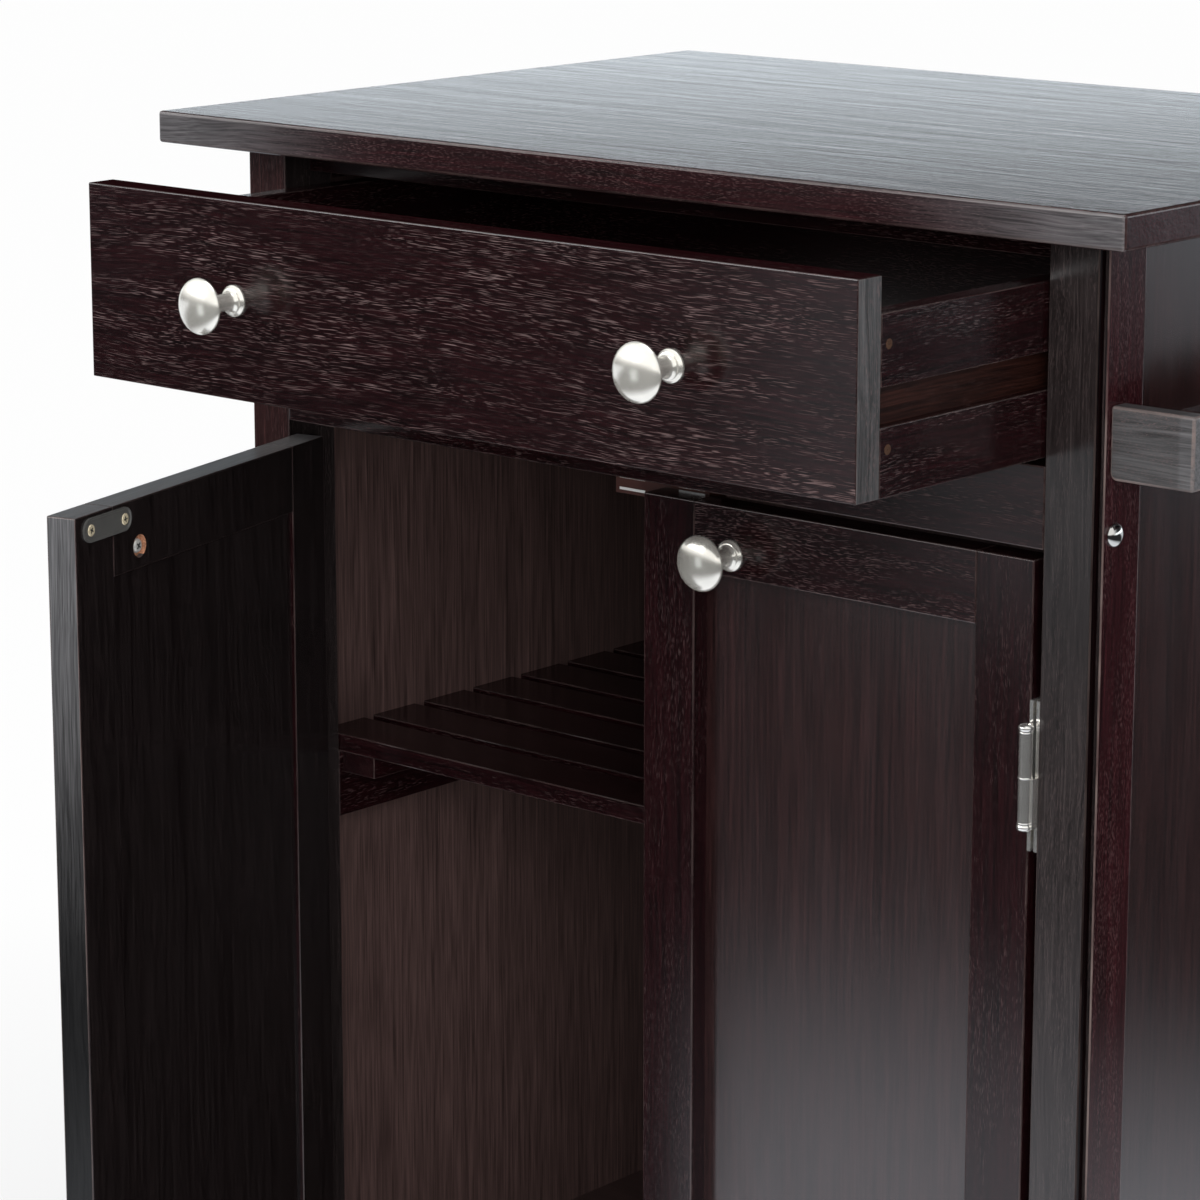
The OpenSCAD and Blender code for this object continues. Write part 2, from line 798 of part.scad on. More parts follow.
// A mushroom knob that stands out along +Z, with a blind hole for its screw
module knob() {
    base = knob_base_d / 2 - 1;
    head = knob_d / 2;
    neck = knob_screw_d / 2 + 2.6;
    rim_z = knob_l - knob_dome;
    flare_z = rim_z - 9;
    difference() {
        rotate_extrude($fn = 64) polygon(concat(
            [[0, 0], [base + 1, 0], [base + 1, 1.6], [base, 2.4]],
            [for (i = [1 : 4]) [base - (base - neck) * sin(i * 22.5), 2.4 + 4 * (1 - cos(i * 22.5))]],
            [for (i = [0 : 6]) [neck + (head - 0.6 - neck) * (1 - cos(i * 15)), flare_z + 8 * sin(i * 15)]],
            [[head, rim_z - 0.4], [head, rim_z]],
            [for (i = [1 : 8]) [head * cos(i * 11.25), rim_z + knob_dome * sin(i * 11.25)]]));
        translate([0, 0, -1]) cylinder(d = knob_screw_d + seat_clear, h = knob_reach + 1);
    }
}

module door_knob() {
    translate([knob_x, door_front, knob_z]) rotate([90, 0, 0]) knob();
}

module door_screws() {
    door_knob_screw();
    strike_screws();
    door_leaf_screws();
}

module left_door_frame() { color("#40383a") left_door_rest() door_frame(); }
module left_door_panel() { color("#40383a") left_door_rest() door_panel(); }
module left_door_knob() { color("#a9a59c") left_door_rest() door_knob(); }
module left_door_screws() { color("#b8b4aa") left_door_rest() door_screws(); }
module left_strike_plate() { color("#b8b4aa") left_door_rest() strike_plate(); }
module left_hinge_leaves() { color("#b5b0a6") left_door_rest() hinge_leaves(); }
module right_door_frame() { color("#40383a") right_door_rest() door_frame(); }
module right_door_panel() { color("#40383a") right_door_rest() door_panel(); }
module right_door_knob() { color("#a9a59c") right_door_rest() door_knob(); }
module right_door_screws() { color("#b8b4aa") right_door_rest() door_screws(); }
module right_strike_plate() { color("#b8b4aa") right_door_rest() strike_plate(); }
module right_hinge_leaves() { color("#b5b0a6") right_door_rest() hinge_leaves(); }

// Drawer

module drawer_rest() {
    translate([0, -drawer_pull, 0]) children();
}

module knob_screw_holes() {
    both_sides() translate([drawer_knob_x, front_y - 1, drawer_mid]) rotate([-90, 0, 0])
        cylinder(d = knob_screw_d + seat_clear, h = drawer_front_t + drawer_end_t + 2);
}

module corner_pins(extra = 0) {
    both_sides() for (y = [box_y + drawer_end_t / 2, box_back - drawer_end_t / 2],
        z = [drawer_low + pin_low, drawer_low + drawer_side_h - pin_high])
        bar_x([drawer_x - pin_l, y, z], pin_d + extra, pin_l);
}

// Space that the drawer bottom fills, also inside the grooves
module bottom_board() {
    box([-side_in - bottom_groove, box_y + drawer_end_t - bottom_groove, bottom_z],
        [side_in + bottom_groove, box_back - drawer_end_t + bottom_groove, bottom_z + drawer_bottom_t]);
}

module drawer_front() {
    color("#544846") drawer_rest() difference() {
        board([-drawer_x, front_y, drawer_low], [drawer_x, box_y, drawer_high]);
        knob_screw_holes();
    }
}

module drawer_box_front() {
    color("#3f3535") drawer_rest() difference() {
        box([-side_in, box_y, drawer_low], [side_in, box_y + drawer_end_t, drawer_low + drawer_side_h]);
        knob_screw_holes();
        bottom_board();
        corner_pins(seat_clear);
    }
}

module drawer_back() {
    color("#3f3535") drawer_rest() difference() {
        box([-side_in, box_back - drawer_end_t, drawer_low], [side_in, box_back, drawer_low + drawer_side_h]);
        bottom_board();
        corner_pins(seat_clear);
    }
}

module drawer_sides() {
    color("#544846") drawer_rest() difference() {
        both_sides() board([side_in, box_y, drawer_low], [drawer_x, box_back, drawer_low + drawer_side_h]);
        both_sides() box([drawer_x - runner_groove, box_y - 1, groove_low], [drawer_x + 1, box_back + 1, groove_high]);
        bottom_board();
        corner_pins(seat_clear);
    }
}

module drawer_bottom() {
    color("#4b3f3e") drawer_rest() bottom_board();
}

module drawer_knobs() {
    color("#a9a59c") drawer_rest() both_sides()
        translate([drawer_knob_x, front_y, drawer_mid]) rotate([90, 0, 0]) knob();
}

module drawer_knob_screws() {
    color("#b8b4aa") drawer_rest() both_sides()
        translate([drawer_knob_x, front_y - knob_reach, drawer_mid]) rotate([-90, 0, 0]) {
            cylinder(d = knob_screw_d, h = knob_reach + drawer_front_t + drawer_end_t);
            translate([0, 0, knob_reach + drawer_front_t + drawer_end_t])
                cylinder(d = knob_screw_d * 2, h = 2.4);
        }
}

module drawer_pins() {
    color("#b58a56") drawer_rest() corner_pins();
}

// Frame hardware

module bolt_head() {
    dome_r = (bolt_head_d * bolt_head_d / 4 + bolt_head_h * bolt_head_h) / (2 * bolt_head_h);
    intersection() {
        translate([0, 0, bolt_head_h - dome_r]) sphere(r = dome_r, $fn = 64);
        cylinder(d = bolt_head_d + 1, h = bolt_head_h + 1);
    }
}

module frame_bolts() {
    color("#c9c7c2") both_sides() for (b = bolts) {
        bar_x([cab_x - bolt_l, b.x, b.y], bolt_d, bolt_l);
        translate([cab_x, b.x, b.y]) towards_x() bolt_head();
    }
}

module frame_screws() {
    color("#b8b4aa") {
        top_screws();
        handle_screws();
        runner_screws();
        frame_leaf_screws();
        catch_screws();
    }
}

// Side handle

module bracket(y) {
    r = bracket_r;
    difference() {
        translate([cab_x, y + bracket_t / 2, handle_low]) rotate([90, 0, 0]) linear_extrude(bracket_t) difference() {
            eased_outline(handle_reach, handle_h, board_ease);
            difference() {
                translate([-1, -1]) square([r + 1, r + 1]);
                translate([r, r]) circle(r = r);
            }
        }
        handle_screws(seat_clear);
        handle_pegs(seat_clear);
    }
}

module handle_pegs(extra = 0) {
    peg_x = handle_out - handle_rail_t / 2;
    for (z = [handle_low + handle_h / 3, handle_high - handle_h / 3]) {
        translate([peg_x, bracket_front + bracket_t / 2 - handle_peg_l, z]) rotate([-90, 0, 0])
            cylinder(d = handle_peg_d + extra, h = handle_peg_l + 1);
        translate([peg_x, bracket_rear - bracket_t / 2 - 1, z]) rotate([-90, 0, 0])
            cylinder(d = handle_peg_d + extra, h = handle_peg_l + 1);
    }
}

module handle_brackets() {
    color("#5b5f63") for (y = [bracket_front, bracket_rear]) bracket(y);
}

module handle_rail() {
    color("#40383a") union() {
        translate([handle_out - handle_rail_t, bracket_rear - bracket_t / 2, handle_low]) rotate([90, 0, 0])
            linear_extrude(bracket_rear - bracket_front - bracket_t)
            eased_outline(handle_rail_t, handle_h, board_ease);
        handle_pegs();
    }
}

// Casters, drawn around the swivel axis with the floor at zero; the wheel trails towards +Y

module stem_inserts() {
    color("#a8a59d") for (s = swivels) translate([s.x, s.y, post_low]) difference() {
        cylinder(d = insert_d, h = insert_l);
        translate([0, 0, -1]) cylinder(d = stem_d + 2 * seat_clear, h = insert_l + 2);
    }
}

module caster_stems() {
    color("#b0ada6") for (s = swivels) translate([s.x, s.y, 0]) {
        translate([0, 0, caster_h]) cylinder(d = stem_d, h = stem_l);
        translate([0, 0, caster_h - flange_t]) cylinder(d = flange_d, h = flange_t);
        translate([0, 0, plate_low - gap]) cylinder(d = stem_d, h = caster_h - flange_t - plate_low + gap);
        translate([0, 0, plate_low - gap - rivet_t]) cylinder(d = rivet_d, h = rivet_t);
    }
}

// Side view of a fork's cheek: a leg that widens upwards to the plate
module cheek_outline(braked) {
    top_y = braked ? lever_y + 6 : plate_d / 2;
    polygon([
        [-plate_d / 2 + 4, plate_high], [top_y, plate_high], [top_y, lever_z - 5],
        [caster_trail + cheek_end_d / 2, axle_z], [caster_trail - cheek_end_d / 2, axle_z]
    ]);
    translate([caster_trail, axle_z]) circle(d = cheek_end_d);
}

module fork(braked) {
    difference() {
        union() {
            translate([0, 0, plate_low]) cylinder(d = plate_d, h = plate_t);
            box([-fork_out, -plate_d / 2 + 4, plate_low], [fork_out, plate_d / 2 - 1, plate_high]);
            for (x = [-fork_out, fork_in])
                translate([x, 0, 0]) rotate([90, 0, 90]) linear_extrude(fork_t) cheek_outline(braked);
            if (braked) bar_x([-fork_out, lever_y, lever_z], lever_pin_d, 2 * fork_out);
        }
        translate([0, 0, plate_low - 1]) cylinder(d = stem_d + 2 * run_clear, h = plate_t + 2);
        bar_x([-fork_out - 1, caster_trail, axle_z], axle_d + seat_clear, 2 * fork_out + 2);
    }
}

module axle() {
    bar_x([-fork_out, caster_trail, axle_z], axle_d, 2 * fork_out);
    for (x = [-fork_out - 2, fork_out]) bar_x([x, caster_trail, axle_z], axle_d + 4, 2);
}

// A solid wheel with a rounded tread, dished sides and a hub
module wheel() {
    r = wheel_d / 2;
    w = wheel_w / 2;
    rim = r - 7;
    hub = axle_d / 2 + 5;
    translate([0, caster_trail, axle_z]) rotate([0, 90, 0]) rotate_extrude($fn = 96) polygon([
        [axle_d / 2 + run_clear, -hub_w / 2], [hub, -hub_w / 2], [hub + 1, -w + 3], [rim - 1, -w + 3],
        [rim, -w], [r - 3, -w], [r - 0.8, -w + 2.4], [r, -w + 6], [r, w - 6], [r - 0.8, w - 2.4], [r - 3, w],
        [rim, w], [rim - 1, w - 3], [hub + 1, w - 3], [hub, hub_w / 2], [axle_d / 2 + run_clear, hub_w / 2]
    ]);
}

// Side view of a brake lever round its pivot, with its toe, which meets the tread when the pedal is down
module lever_outline() {
    toe_reach = norm([lever_y - caster_trail, lever_z - axle_z]) - wheel_d / 2 - gap;
    toe_turn = atan2(lever_y - caster_trail, lever_z - axle_z);
    toe_t = 3;
    toe = sqrt(toe_reach * toe_reach - toe_t * toe_t / 4);
    difference() {
        union() {
            circle(d = lever_pin_d + 3.6);
            rotate(lever_press) translate([0, 0.6]) square([lever_l, 3]);
            rotate(lever_press) translate([lever_l, 2.1]) circle(d = 4.4);
            rotate(lever_press - toe_turn) translate([-toe_t / 2, -toe]) square([toe_t, toe]);
        }
        circle(d = lever_pin_d + 2 * run_clear);
    }
}

module brake_lever() {
    half = fork_in - gap;
    translate([-half, lever_y, lever_z]) rotate([90, 0, 90]) linear_extrude(2 * half) lever_outline();
}

module at_swivel(i) {
    translate([swivels[i].x, swivels[i].y, 0]) children();
}

module fork_front_left() { color("#8f8f8d") at_swivel(0) fork(true); }
module fork_front_right() { color("#8f8f8d") at_swivel(1) fork(true); }
module fork_rear_left() { color("#8f8f8d") at_swivel(2) fork(false); }
module fork_rear_right() { color("#8f8f8d") at_swivel(3) fork(false); }
module axles_front_left() { color("#c9c7c2") at_swivel(0) axle(); }
module axles_front_right() { color("#c9c7c2") at_swivel(1) axle(); }
module axles_rear_left() { color("#c9c7c2") at_swivel(2) axle(); }
module axles_rear_right() { color("#c9c7c2") at_swivel(3) axle(); }
module wheel_front_left() { color("#1f1f20") at_swivel(0) wheel(); }
module wheel_front_right() { color("#1f1f20") at_swivel(1) wheel(); }
module wheel_rear_left() { color("#1f1f20") at_swivel(2) wheel(); }
module wheel_rear_right() { color("#1f1f20") at_swivel(3) wheel(); }
module brake_left() { color("#26262a") at_swivel(0) brake_lever(); }
module brake_right() { color("#26262a") at_swivel(1) brake_lever(); }

module to_origin() {
    translate([-origin_x, -origin_y, 0]) children();
}

to_origin() worktop();
to_origin() front_posts();
to_origin() rear_posts();
to_origin() side_panels();
to_origin() side_top_rails();
to_origin() side_shelf_rails();
to_origin() side_bottom_rails();
to_origin() front_top_rail();
to_origin() drawer_rail();
to_origin() front_bottom_rail();
to_origin() back_panel();
to_origin() back_rails();
to_origin() cupboard_floor();
to_origin() drawer_runners();
to_origin() shelf_slats();
to_origin() shelf_battens();
to_origin() catch_case();
to_origin() catch_poles();
to_origin() hinge_frame_leaves();
to_origin() hinge_pins();
to_origin() frame_bolts();
to_origin() handle_brackets();
to_origin() handle_rail();
to_origin() frame_screws();
to_origin() caster_stems();
to_origin() stem_inserts();
to_origin() drawer_front();
to_origin() drawer_box_front();
to_origin() drawer_sides();
to_origin() drawer_back();
to_origin() drawer_bottom();
to_origin() drawer_knobs();
to_origin() drawer_knob_screws();
to_origin() drawer_pins();
to_origin() left_door_frame();
to_origin() left_door_panel();
to_origin() left_door_knob();
to_origin() left_door_screws();
to_origin() left_strike_plate();
to_origin() left_hinge_leaves();
to_origin() right_door_frame();
to_origin() right_door_panel();
to_origin() right_door_knob();
to_origin() right_door_screws();
to_origin() right_strike_plate();
to_origin() right_hinge_leaves();
to_origin() fork_front_left();
to_origin() fork_front_right();
to_origin() fork_rear_left();
to_origin() fork_rear_right();
to_origin() axles_front_left();
to_origin() axles_front_right();
to_origin() axles_rear_left();
to_origin() axles_rear_right();
to_origin() wheel_front_left();
to_origin() wheel_front_right();
to_origin() wheel_rear_left();
to_origin() wheel_rear_right();
to_origin() brake_left();
to_origin() brake_right();
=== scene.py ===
"""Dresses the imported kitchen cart: lacquered boards, satin knobs, steel fittings, casters and a studio."""

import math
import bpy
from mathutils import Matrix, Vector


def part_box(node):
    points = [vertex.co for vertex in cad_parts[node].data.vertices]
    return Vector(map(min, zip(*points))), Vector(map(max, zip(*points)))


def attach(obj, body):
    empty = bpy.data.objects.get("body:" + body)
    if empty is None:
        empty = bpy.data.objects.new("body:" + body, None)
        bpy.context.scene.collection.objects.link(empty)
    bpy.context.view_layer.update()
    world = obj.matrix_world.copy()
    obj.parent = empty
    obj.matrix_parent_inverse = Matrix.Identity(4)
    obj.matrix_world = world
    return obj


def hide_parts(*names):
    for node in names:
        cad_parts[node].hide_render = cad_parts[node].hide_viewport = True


bl_info = {
    "name": "Kitchen Cart Dressing",
    "version": (1, 0, 0),
    "blender": (4, 5, 0),
    "location": "3D View > Sidebar > Kitchen Cart",
    "description": "Lacquered boards, fittings, casters and studio for a kitchen cart",
    "category": "Object",
}

from functools import cache, partial

import bmesh
import bpy
from mathutils import Matrix, Vector

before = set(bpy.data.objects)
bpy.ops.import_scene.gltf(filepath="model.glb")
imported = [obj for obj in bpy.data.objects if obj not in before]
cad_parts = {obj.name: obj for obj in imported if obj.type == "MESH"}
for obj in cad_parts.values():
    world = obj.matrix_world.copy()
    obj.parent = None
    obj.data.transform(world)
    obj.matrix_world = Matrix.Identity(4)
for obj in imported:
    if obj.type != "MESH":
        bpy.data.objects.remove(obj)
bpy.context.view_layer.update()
PLACES = ("front_left", "front_right", "rear_left", "rear_right")

# The left door stands open at rest: its angle, the axis of its hinge pins and the turn that opens it
DOOR_OPEN = math.radians(75.5)
PIN_RADIUS = 0.0032
HINGE_AXIS = sum((Vector(corner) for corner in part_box("hinge_pins")), Vector()) / 2
HINGE_AXIS.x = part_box("hinge_pins")[0][0] + PIN_RADIUS
OPENED = (Matrix.Translation(HINGE_AXIS) @ Matrix.Rotation(-DOOR_OPEN, 4, "Z")
          @ Matrix.Translation(-HINGE_AXIS))
DOORS = (("left", OPENED), ("right", None))


# Sizes and colours

class CartSizes(bpy.types.PropertyGroup):
    """Sizes of the dressed boards and fittings"""
    worktop_ease: bpy.props.FloatProperty(
        name="Worktop edge", description="Radius of the worktop's eased edges", default=0.0018,
        min=0.0005, max=0.004, unit="LENGTH")
    board_ease: bpy.props.FloatProperty(
        name="Board edge", description="Radius of the boards' eased edges", default=0.0008,
        min=0.0003, max=0.002, unit="LENGTH")
    panel_ease: bpy.props.FloatProperty(
        name="Panel edge", description="Radius of the thin panels' edges", default=0.0002,
        min=0.0001, max=0.001, unit="LENGTH")
    stile_width: bpy.props.FloatProperty(
        name="Stile width", description="Width of a door's upright boards", default=0.035,
        min=0.02, max=0.06, unit="LENGTH")
    top_rail: bpy.props.FloatProperty(
        name="Top rail", description="Height of a door's upper board", default=0.038,
        min=0.02, max=0.08, unit="LENGTH")
    bottom_rail: bpy.props.FloatProperty(
        name="Bottom rail", description="Height of a door's lower board", default=0.045,
        min=0.02, max=0.1, unit="LENGTH")
    post_step: bpy.props.FloatProperty(
        name="Post step", description="Setback of the post's side behind its front face", default=0.0055,
        min=0.001, max=0.01, unit="LENGTH")
    post_proud: bpy.props.FloatProperty(
        name="Post side", description="How far the post's side stands out", default=0.0025,
        min=0.001, max=0.01, unit="LENGTH")
    groove_depth: bpy.props.FloatProperty(
        name="Runner groove", description="Depth of the groove in a drawer's side", default=0.006,
        min=0.002, max=0.01, unit="LENGTH")
    groove_lift: bpy.props.FloatProperty(
        name="Groove height", description="Height of the groove above the side's lower edge", default=0.034,
        min=0.01, max=0.06, unit="LENGTH")
    groove_width: bpy.props.FloatProperty(
        name="Groove width", description="Height of the runner groove itself", default=0.0188,
        min=0.01, max=0.03, unit="LENGTH")


class CartColours(bpy.types.PropertyGroup):
    """Colours of the wood, the metal and the plastic"""
    lacquer_deep: bpy.props.FloatVectorProperty(
        name="Deep lacquer", description="Darkest tone of the lacquered wood", subtype="COLOR",
        default=(0.0022, 0.001, 0.0012), min=0, max=1)
    lacquer_warm: bpy.props.FloatVectorProperty(
        name="Warm lacquer", description="Maroon tone between the grain lines", subtype="COLOR",
        default=(0.0125, 0.0026, 0.0034), min=0, max=1)
    veneer_warm: bpy.props.FloatVectorProperty(
        name="Veneer", description="Lighter tone of the panels' straight grain", subtype="COLOR",
        default=(0.026, 0.0098, 0.0096), min=0, max=1)
    # Painted sheen: a grey in place of light caught on the posts' faces
    post: bpy.props.FloatVectorProperty(
        name="Posts", description="Painted grey sheen on the corner posts' grain", subtype="COLOR",
        default=(0.024, 0.0185, 0.0182), min=0, max=1)
    # Painted shade: the dull dark colour of the doors' inner faces
    shaded: bpy.props.FloatVectorProperty(
        name="Door backs", description="Painted shade on the doors' inner faces", subtype="COLOR",
        default=(0.011, 0.0082, 0.0082), min=0, max=1)
    inside: bpy.props.FloatVectorProperty(
        name="Inner veneer", description="Thinner stain on the panels' inner faces", subtype="COLOR",
        default=(0.1, 0.06, 0.055), min=0, max=1)
    # Painted sheen: a grey that stands in for light caught on ends and edges
    end_grain: bpy.props.FloatVectorProperty(
        name="End grain sheen", description="Painted grey sheen on the boards' ends", subtype="COLOR",
        default=(0.052, 0.051, 0.052), min=0, max=1)
    groove: bpy.props.FloatVectorProperty(
        name="Groove", description="Thinly stained wood in the drawer's grooves", subtype="COLOR",
        default=(0.026, 0.0085, 0.006), min=0, max=1)
    # Painted glints: the pale colour of the open grain's dashes
    pore_glint: bpy.props.FloatVectorProperty(
        name="Pores", description="Pale dashes of the open grain, painted as glints", subtype="COLOR",
        default=(0.12, 0.078, 0.076), min=0, max=1)
    # Painted highlight: the pale colour laid along the eased edges
    painted_edge_highlight: bpy.props.FloatVectorProperty(
        name="Eased edges", description="Painted highlight on the eased edges", subtype="COLOR",
        default=(0.17, 0.13, 0.12), min=0, max=1)
    # Painted sheen: the grey that some edges turn to along an axis
    painted_sheen_grey: bpy.props.FloatVectorProperty(
        name="Painted sheen at ends", description="Painted grey sheen that the long edges turn to at their ends", subtype="COLOR",
        default=(0.1, 0.098, 0.102), min=0, max=1)
    raw_wood: bpy.props.FloatVectorProperty(
        name="Raw wood", description="Bare wood of pins and drilled holes", subtype="COLOR",
        default=(0.55, 0.27, 0.16), min=0, max=1)
    # Painted highlight in part: the knobs are not fully metallic, so their near-white colour keeps the heads
    # bright
    nickel: bpy.props.FloatVectorProperty(
        name="Satin nickel", description="Knobs", subtype="COLOR",
        default=(0.98, 0.95, 0.87), min=0, max=1)
    # Painted highlight in part: the hinges are a little diffuse, so their leaves read bright
    hinge_steel: bpy.props.FloatVectorProperty(
        name="Hinge steel", description="Polished leaves and pins of the hinges", subtype="COLOR",
        default=(0.93, 0.91, 0.87), min=0, max=1)
    steel: bpy.props.FloatVectorProperty(
        name="Bright steel", description="Bolts, screws, forks and strike plates", subtype="COLOR",
        default=(0.7, 0.69, 0.66), min=0, max=1)
    brassy: bpy.props.FloatVectorProperty(
        name="Yellow zinc", description="Small screws of the doors", subtype="COLOR",
        default=(0.9, 0.78, 0.55), min=0, max=1)
    # Painted highlight: near-white and mostly not metallic, so the plates read bright in the shade
    pole_steel_highlight: bpy.props.FloatVectorProperty(
        name="Pole plates", description="Plates of the magnetic catch, whitened as a painted highlight", subtype="COLOR",
        default=(0.95, 0.95, 0.95), min=0, max=1)
    catch: bpy.props.FloatVectorProperty(
        name="Catch", description="Brown plastic of the magnetic catch", subtype="COLOR",
        default=(0.04, 0.011, 0.008), min=0, max=1)
    rubber: bpy.props.FloatVectorProperty(
        name="Tread", description="Treads of the wheels", subtype="COLOR",
        default=(0.018, 0.018, 0.019), min=0, max=1)
    hub: bpy.props.FloatVectorProperty(
        name="Wheel core", description="Plastic cores of the wheels", subtype="COLOR",
        default=(0.12, 0.12, 0.125), min=0, max=1)


def sizes():
    """The sizes as the panel holds them."""
    return bpy.context.scene.cart_sizes


def toned(colour, tone=1.0):
    """A named colour of the panel, brightened or darkened."""
    return [part * tone for part in getattr(bpy.context.scene.cart_colours, colour)]


# Material nodes

BUMP_HEIGHT = 0.0002


def fill(made, **given):
    """Sets a node's own settings, in lower case, and its inputs, by name or as _ and their number."""
    for key, value in given.items():
        if key.islower():
            setattr(made, key, value)
            continue
        socket = made.inputs[int(key[1:]) if key[0] == "_" else key.replace("_", " ")]
        if isinstance(value, bpy.types.NodeSocket):
            made.id_data.links.new(value, socket)
        else:
            socket.default_value = value
    return made


def adder(tree):
    """A shortcut that adds a node to a tree, by the end of its type's name, and fills it."""
    return lambda kind, **given: fill(tree.nodes.new("ShaderNode" + kind), **given)


def new_material(name):
    """A material with its shader, a shortcut that adds nodes, and the place on the piece."""
    material = bpy.data.materials.new(name)
    material.use_nodes = True
    add = adder(material.node_tree)
    return material, material.node_tree.nodes["Principled BSDF"], add, add("TexCoord").outputs["Object"]


def maths(add, operation, *values):
    """The number that an operation makes of some values."""
    return add("Math", operation=operation, **{f"_{i}": value for i, value in enumerate(values)}).outputs[0]


def mapped(add, value, low, high, start, end, curve="LINEAR"):
    """A value whose span from low to high becomes the span from start to end."""
    return add("MapRange", interpolation_type=curve, Value=value, _1=low, _2=high, _3=start,
               _4=end).outputs[0]


def moved(add, vector, by, operation="ADD"):
    """A vector moved by another."""
    return add("VectorMath", operation=operation, _0=vector, _1=by).outputs[0]


def scaled(add, vector, factor):
    """A vector or colour times a factor."""
    return add("VectorMath", operation="SCALE", _0=vector, Scale=factor).outputs[0]


def noise(add, vector, scale, detail, rough=0.5, output="Fac"):
    """A cloudy pattern."""
    return add("TexNoise", Vector=vector, Scale=scale, Detail=detail, Roughness=rough).outputs[output]


def ramp(add, factor, *stops):
    """A grey ramp between two (place, level) stops."""
    made = add("ValToRGB", Fac=factor)
    for element, (place, level) in zip(made.color_ramp.elements, stops):
        element.position = place
        element.color = (level, level, level, 1)
    return made.outputs["Color"]


def blend(add, factor, first, second):
    """Mixes two colours, each given as a socket or as red, green and blue."""
    first, second = (c if isinstance(c, bpy.types.NodeSocket) else (*c, 1) for c in (first, second))
    return add("Mix", data_type="RGBA", _0=factor, _6=first, _7=second).outputs[2]


# Finishes

def wood(name, along, turn=0.0, warm="lacquer_warm", tone=1.0, pores=0.55, grain=1.0, roughness=0.15,
         gloss=0.6, edge_highlight=0.22, dark=0.25, painted_sheen=None, fine=1.0, relief=0.12, waves=0.0):
    """Lacquered wood whose grain runs along an axis of the board, which may be turned about Z.

    Warm names the lighter colour of the grain, tone brightens it, and dark is its share in the deep grain.
    Pores says how pale the open grain's dashes, painted glints, are, grain how long, fine how narrow the
    streaks, edge_highlight how bright the painted highlight on the eased edges is, relief and waves how deep
    the surface is.
    The painted_sheen names an axis, two distances along it between which the wood turns to a painted grey
    sheen, and how far it turns.
    """
    straight = warm in ("veneer_warm", "inside")
    streaks_across = (430.0 if straight else 330.0) * fine
    sways = ((2.2, 9.0, 0.006),) if straight else ((2.2, 9.0, 0.022), (14.0, 30.0, 0.005))
    material, shader, add, place = new_material(name)
    turned = add("Mapping", Vector=place, Rotation=(0, 0, turn)).outputs[0]
    board = add("Attribute", attribute_name="board").outputs["Fac"]
    wandering = moved(add, turned, scaled(add, (3.7, 2.9, 4.3), board))

    def stretched(long, across):
        scale = [across] * 3
        scale["XYZ".index(along)] = long
        return add("Mapping", Vector=wandering, Scale=scale).outputs[0]

    def pattern(long, across, detail, rough):
        return noise(add, stretched(long, across), 1.0, detail, rough)

    # The grain strays a little from a straight line
    for long, across, reach in sways:
        sway = noise(add, stretched(long, across), 1.0, 1.0, output="Color")
        centred = moved(add, sway, (0.5, 0.5, 0.5), "SUBTRACT")
        wandering = moved(add, wandering, scaled(add, centred, reach))

    # The grain: broad bands, narrow streaks in them, and fibres that lighten and darken both
    bands = ramp(add, pattern(1.6, 34.0, 3.0, 0.55), (0.32, 0.0), (0.68, 1.0))
    streaks = ramp(add, pattern(4.0, streaks_across, 5.0, 0.72), (0.34, 0.0), (0.66, 1.0))
    light = toned(warm, tone)
    deep = [low * 0.5 + high * dark for low, high in zip(toned("lacquer_deep", tone), light)]
    middle = [low * 0.45 + high * 0.55 for low, high in zip(deep, light)]
    colour = blend(add, streaks, blend(add, bands, deep, middle), light)
    fibres = mapped(add, pattern(22.0, 950.0, 2.0, 0.6), 0.32, 0.68, 0.5, 1.45)
    colour = scaled(add, colour, fibres)

    # Short pale dashes of open pores, painted glints, which gather in clusters
    dashes = pattern(150.0 / grain, 3300.0 / grain ** 0.4, 1.0, 0.4)
    dashes = ramp(add, dashes, (0.6 - 0.02 * pores, 0.0), (0.7, 1.0))
    clusters = ramp(add, pattern(9.0, 70.0, 2.0, 0.6), (0.38, 0.15), (0.62, 1.0))
    amount = maths(add, "MULTIPLY", maths(add, "MULTIPLY", dashes, clusters), pores)
    colour = blend(add, amount, colour, toned("pore_glint", tone))

    # Painted sheen: between two distances along an axis the wood turns grey
    if painted_sheen:
        axis, start, end, share = painted_sheen
        far = maths(add, "ABSOLUTE", add("SeparateXYZ", _0=place).outputs[axis])
        far = mapped(add, far, start, end, 0.0, share, "SMOOTHSTEP")
        colour = blend(add, far, colour, scaled(add, toned("painted_sheen_grey"), fibres))

    # Painted highlight: the eased edges turn pale in a cloudy pattern, where light would catch them
    eased = add("Attribute", attribute_name="eased").outputs["Fac"]
    edge_highlight_mask = ramp(add, pattern(26.0, 160.0, 2.0, 0.6), (0.3, 0.15 * edge_highlight), (0.7, edge_highlight))
    colour = blend(add, maths(add, "MULTIPLY", eased, edge_highlight_mask), colour, toned("painted_edge_highlight"))

    # Open pores are duller, and they and the streaks stand out of the surface
    shine = mapped(add, pattern(12.0, 60.0, 3.0, 0.6), 0.0, 1.0, roughness - 0.03, roughness + 0.05)
    height = maths(add, "MULTIPLY_ADD", streaks, 0.35, amount)
    if waves:
        height = maths(add, "MULTIPLY_ADD", pattern(5.0, 60.0, 4.0, 0.75), waves, height)
    bump = add("Bump", Height=height, Strength=relief, Distance=BUMP_HEIGHT)
    fill(shader, Base_Color=colour, Roughness=maths(add, "MULTIPLY_ADD", amount, 0.12, shine),
         IOR=1.58 if gloss == 1.0 else 1.5, Specular_IOR_Level=gloss, Normal=bump.outputs[0])
    return material


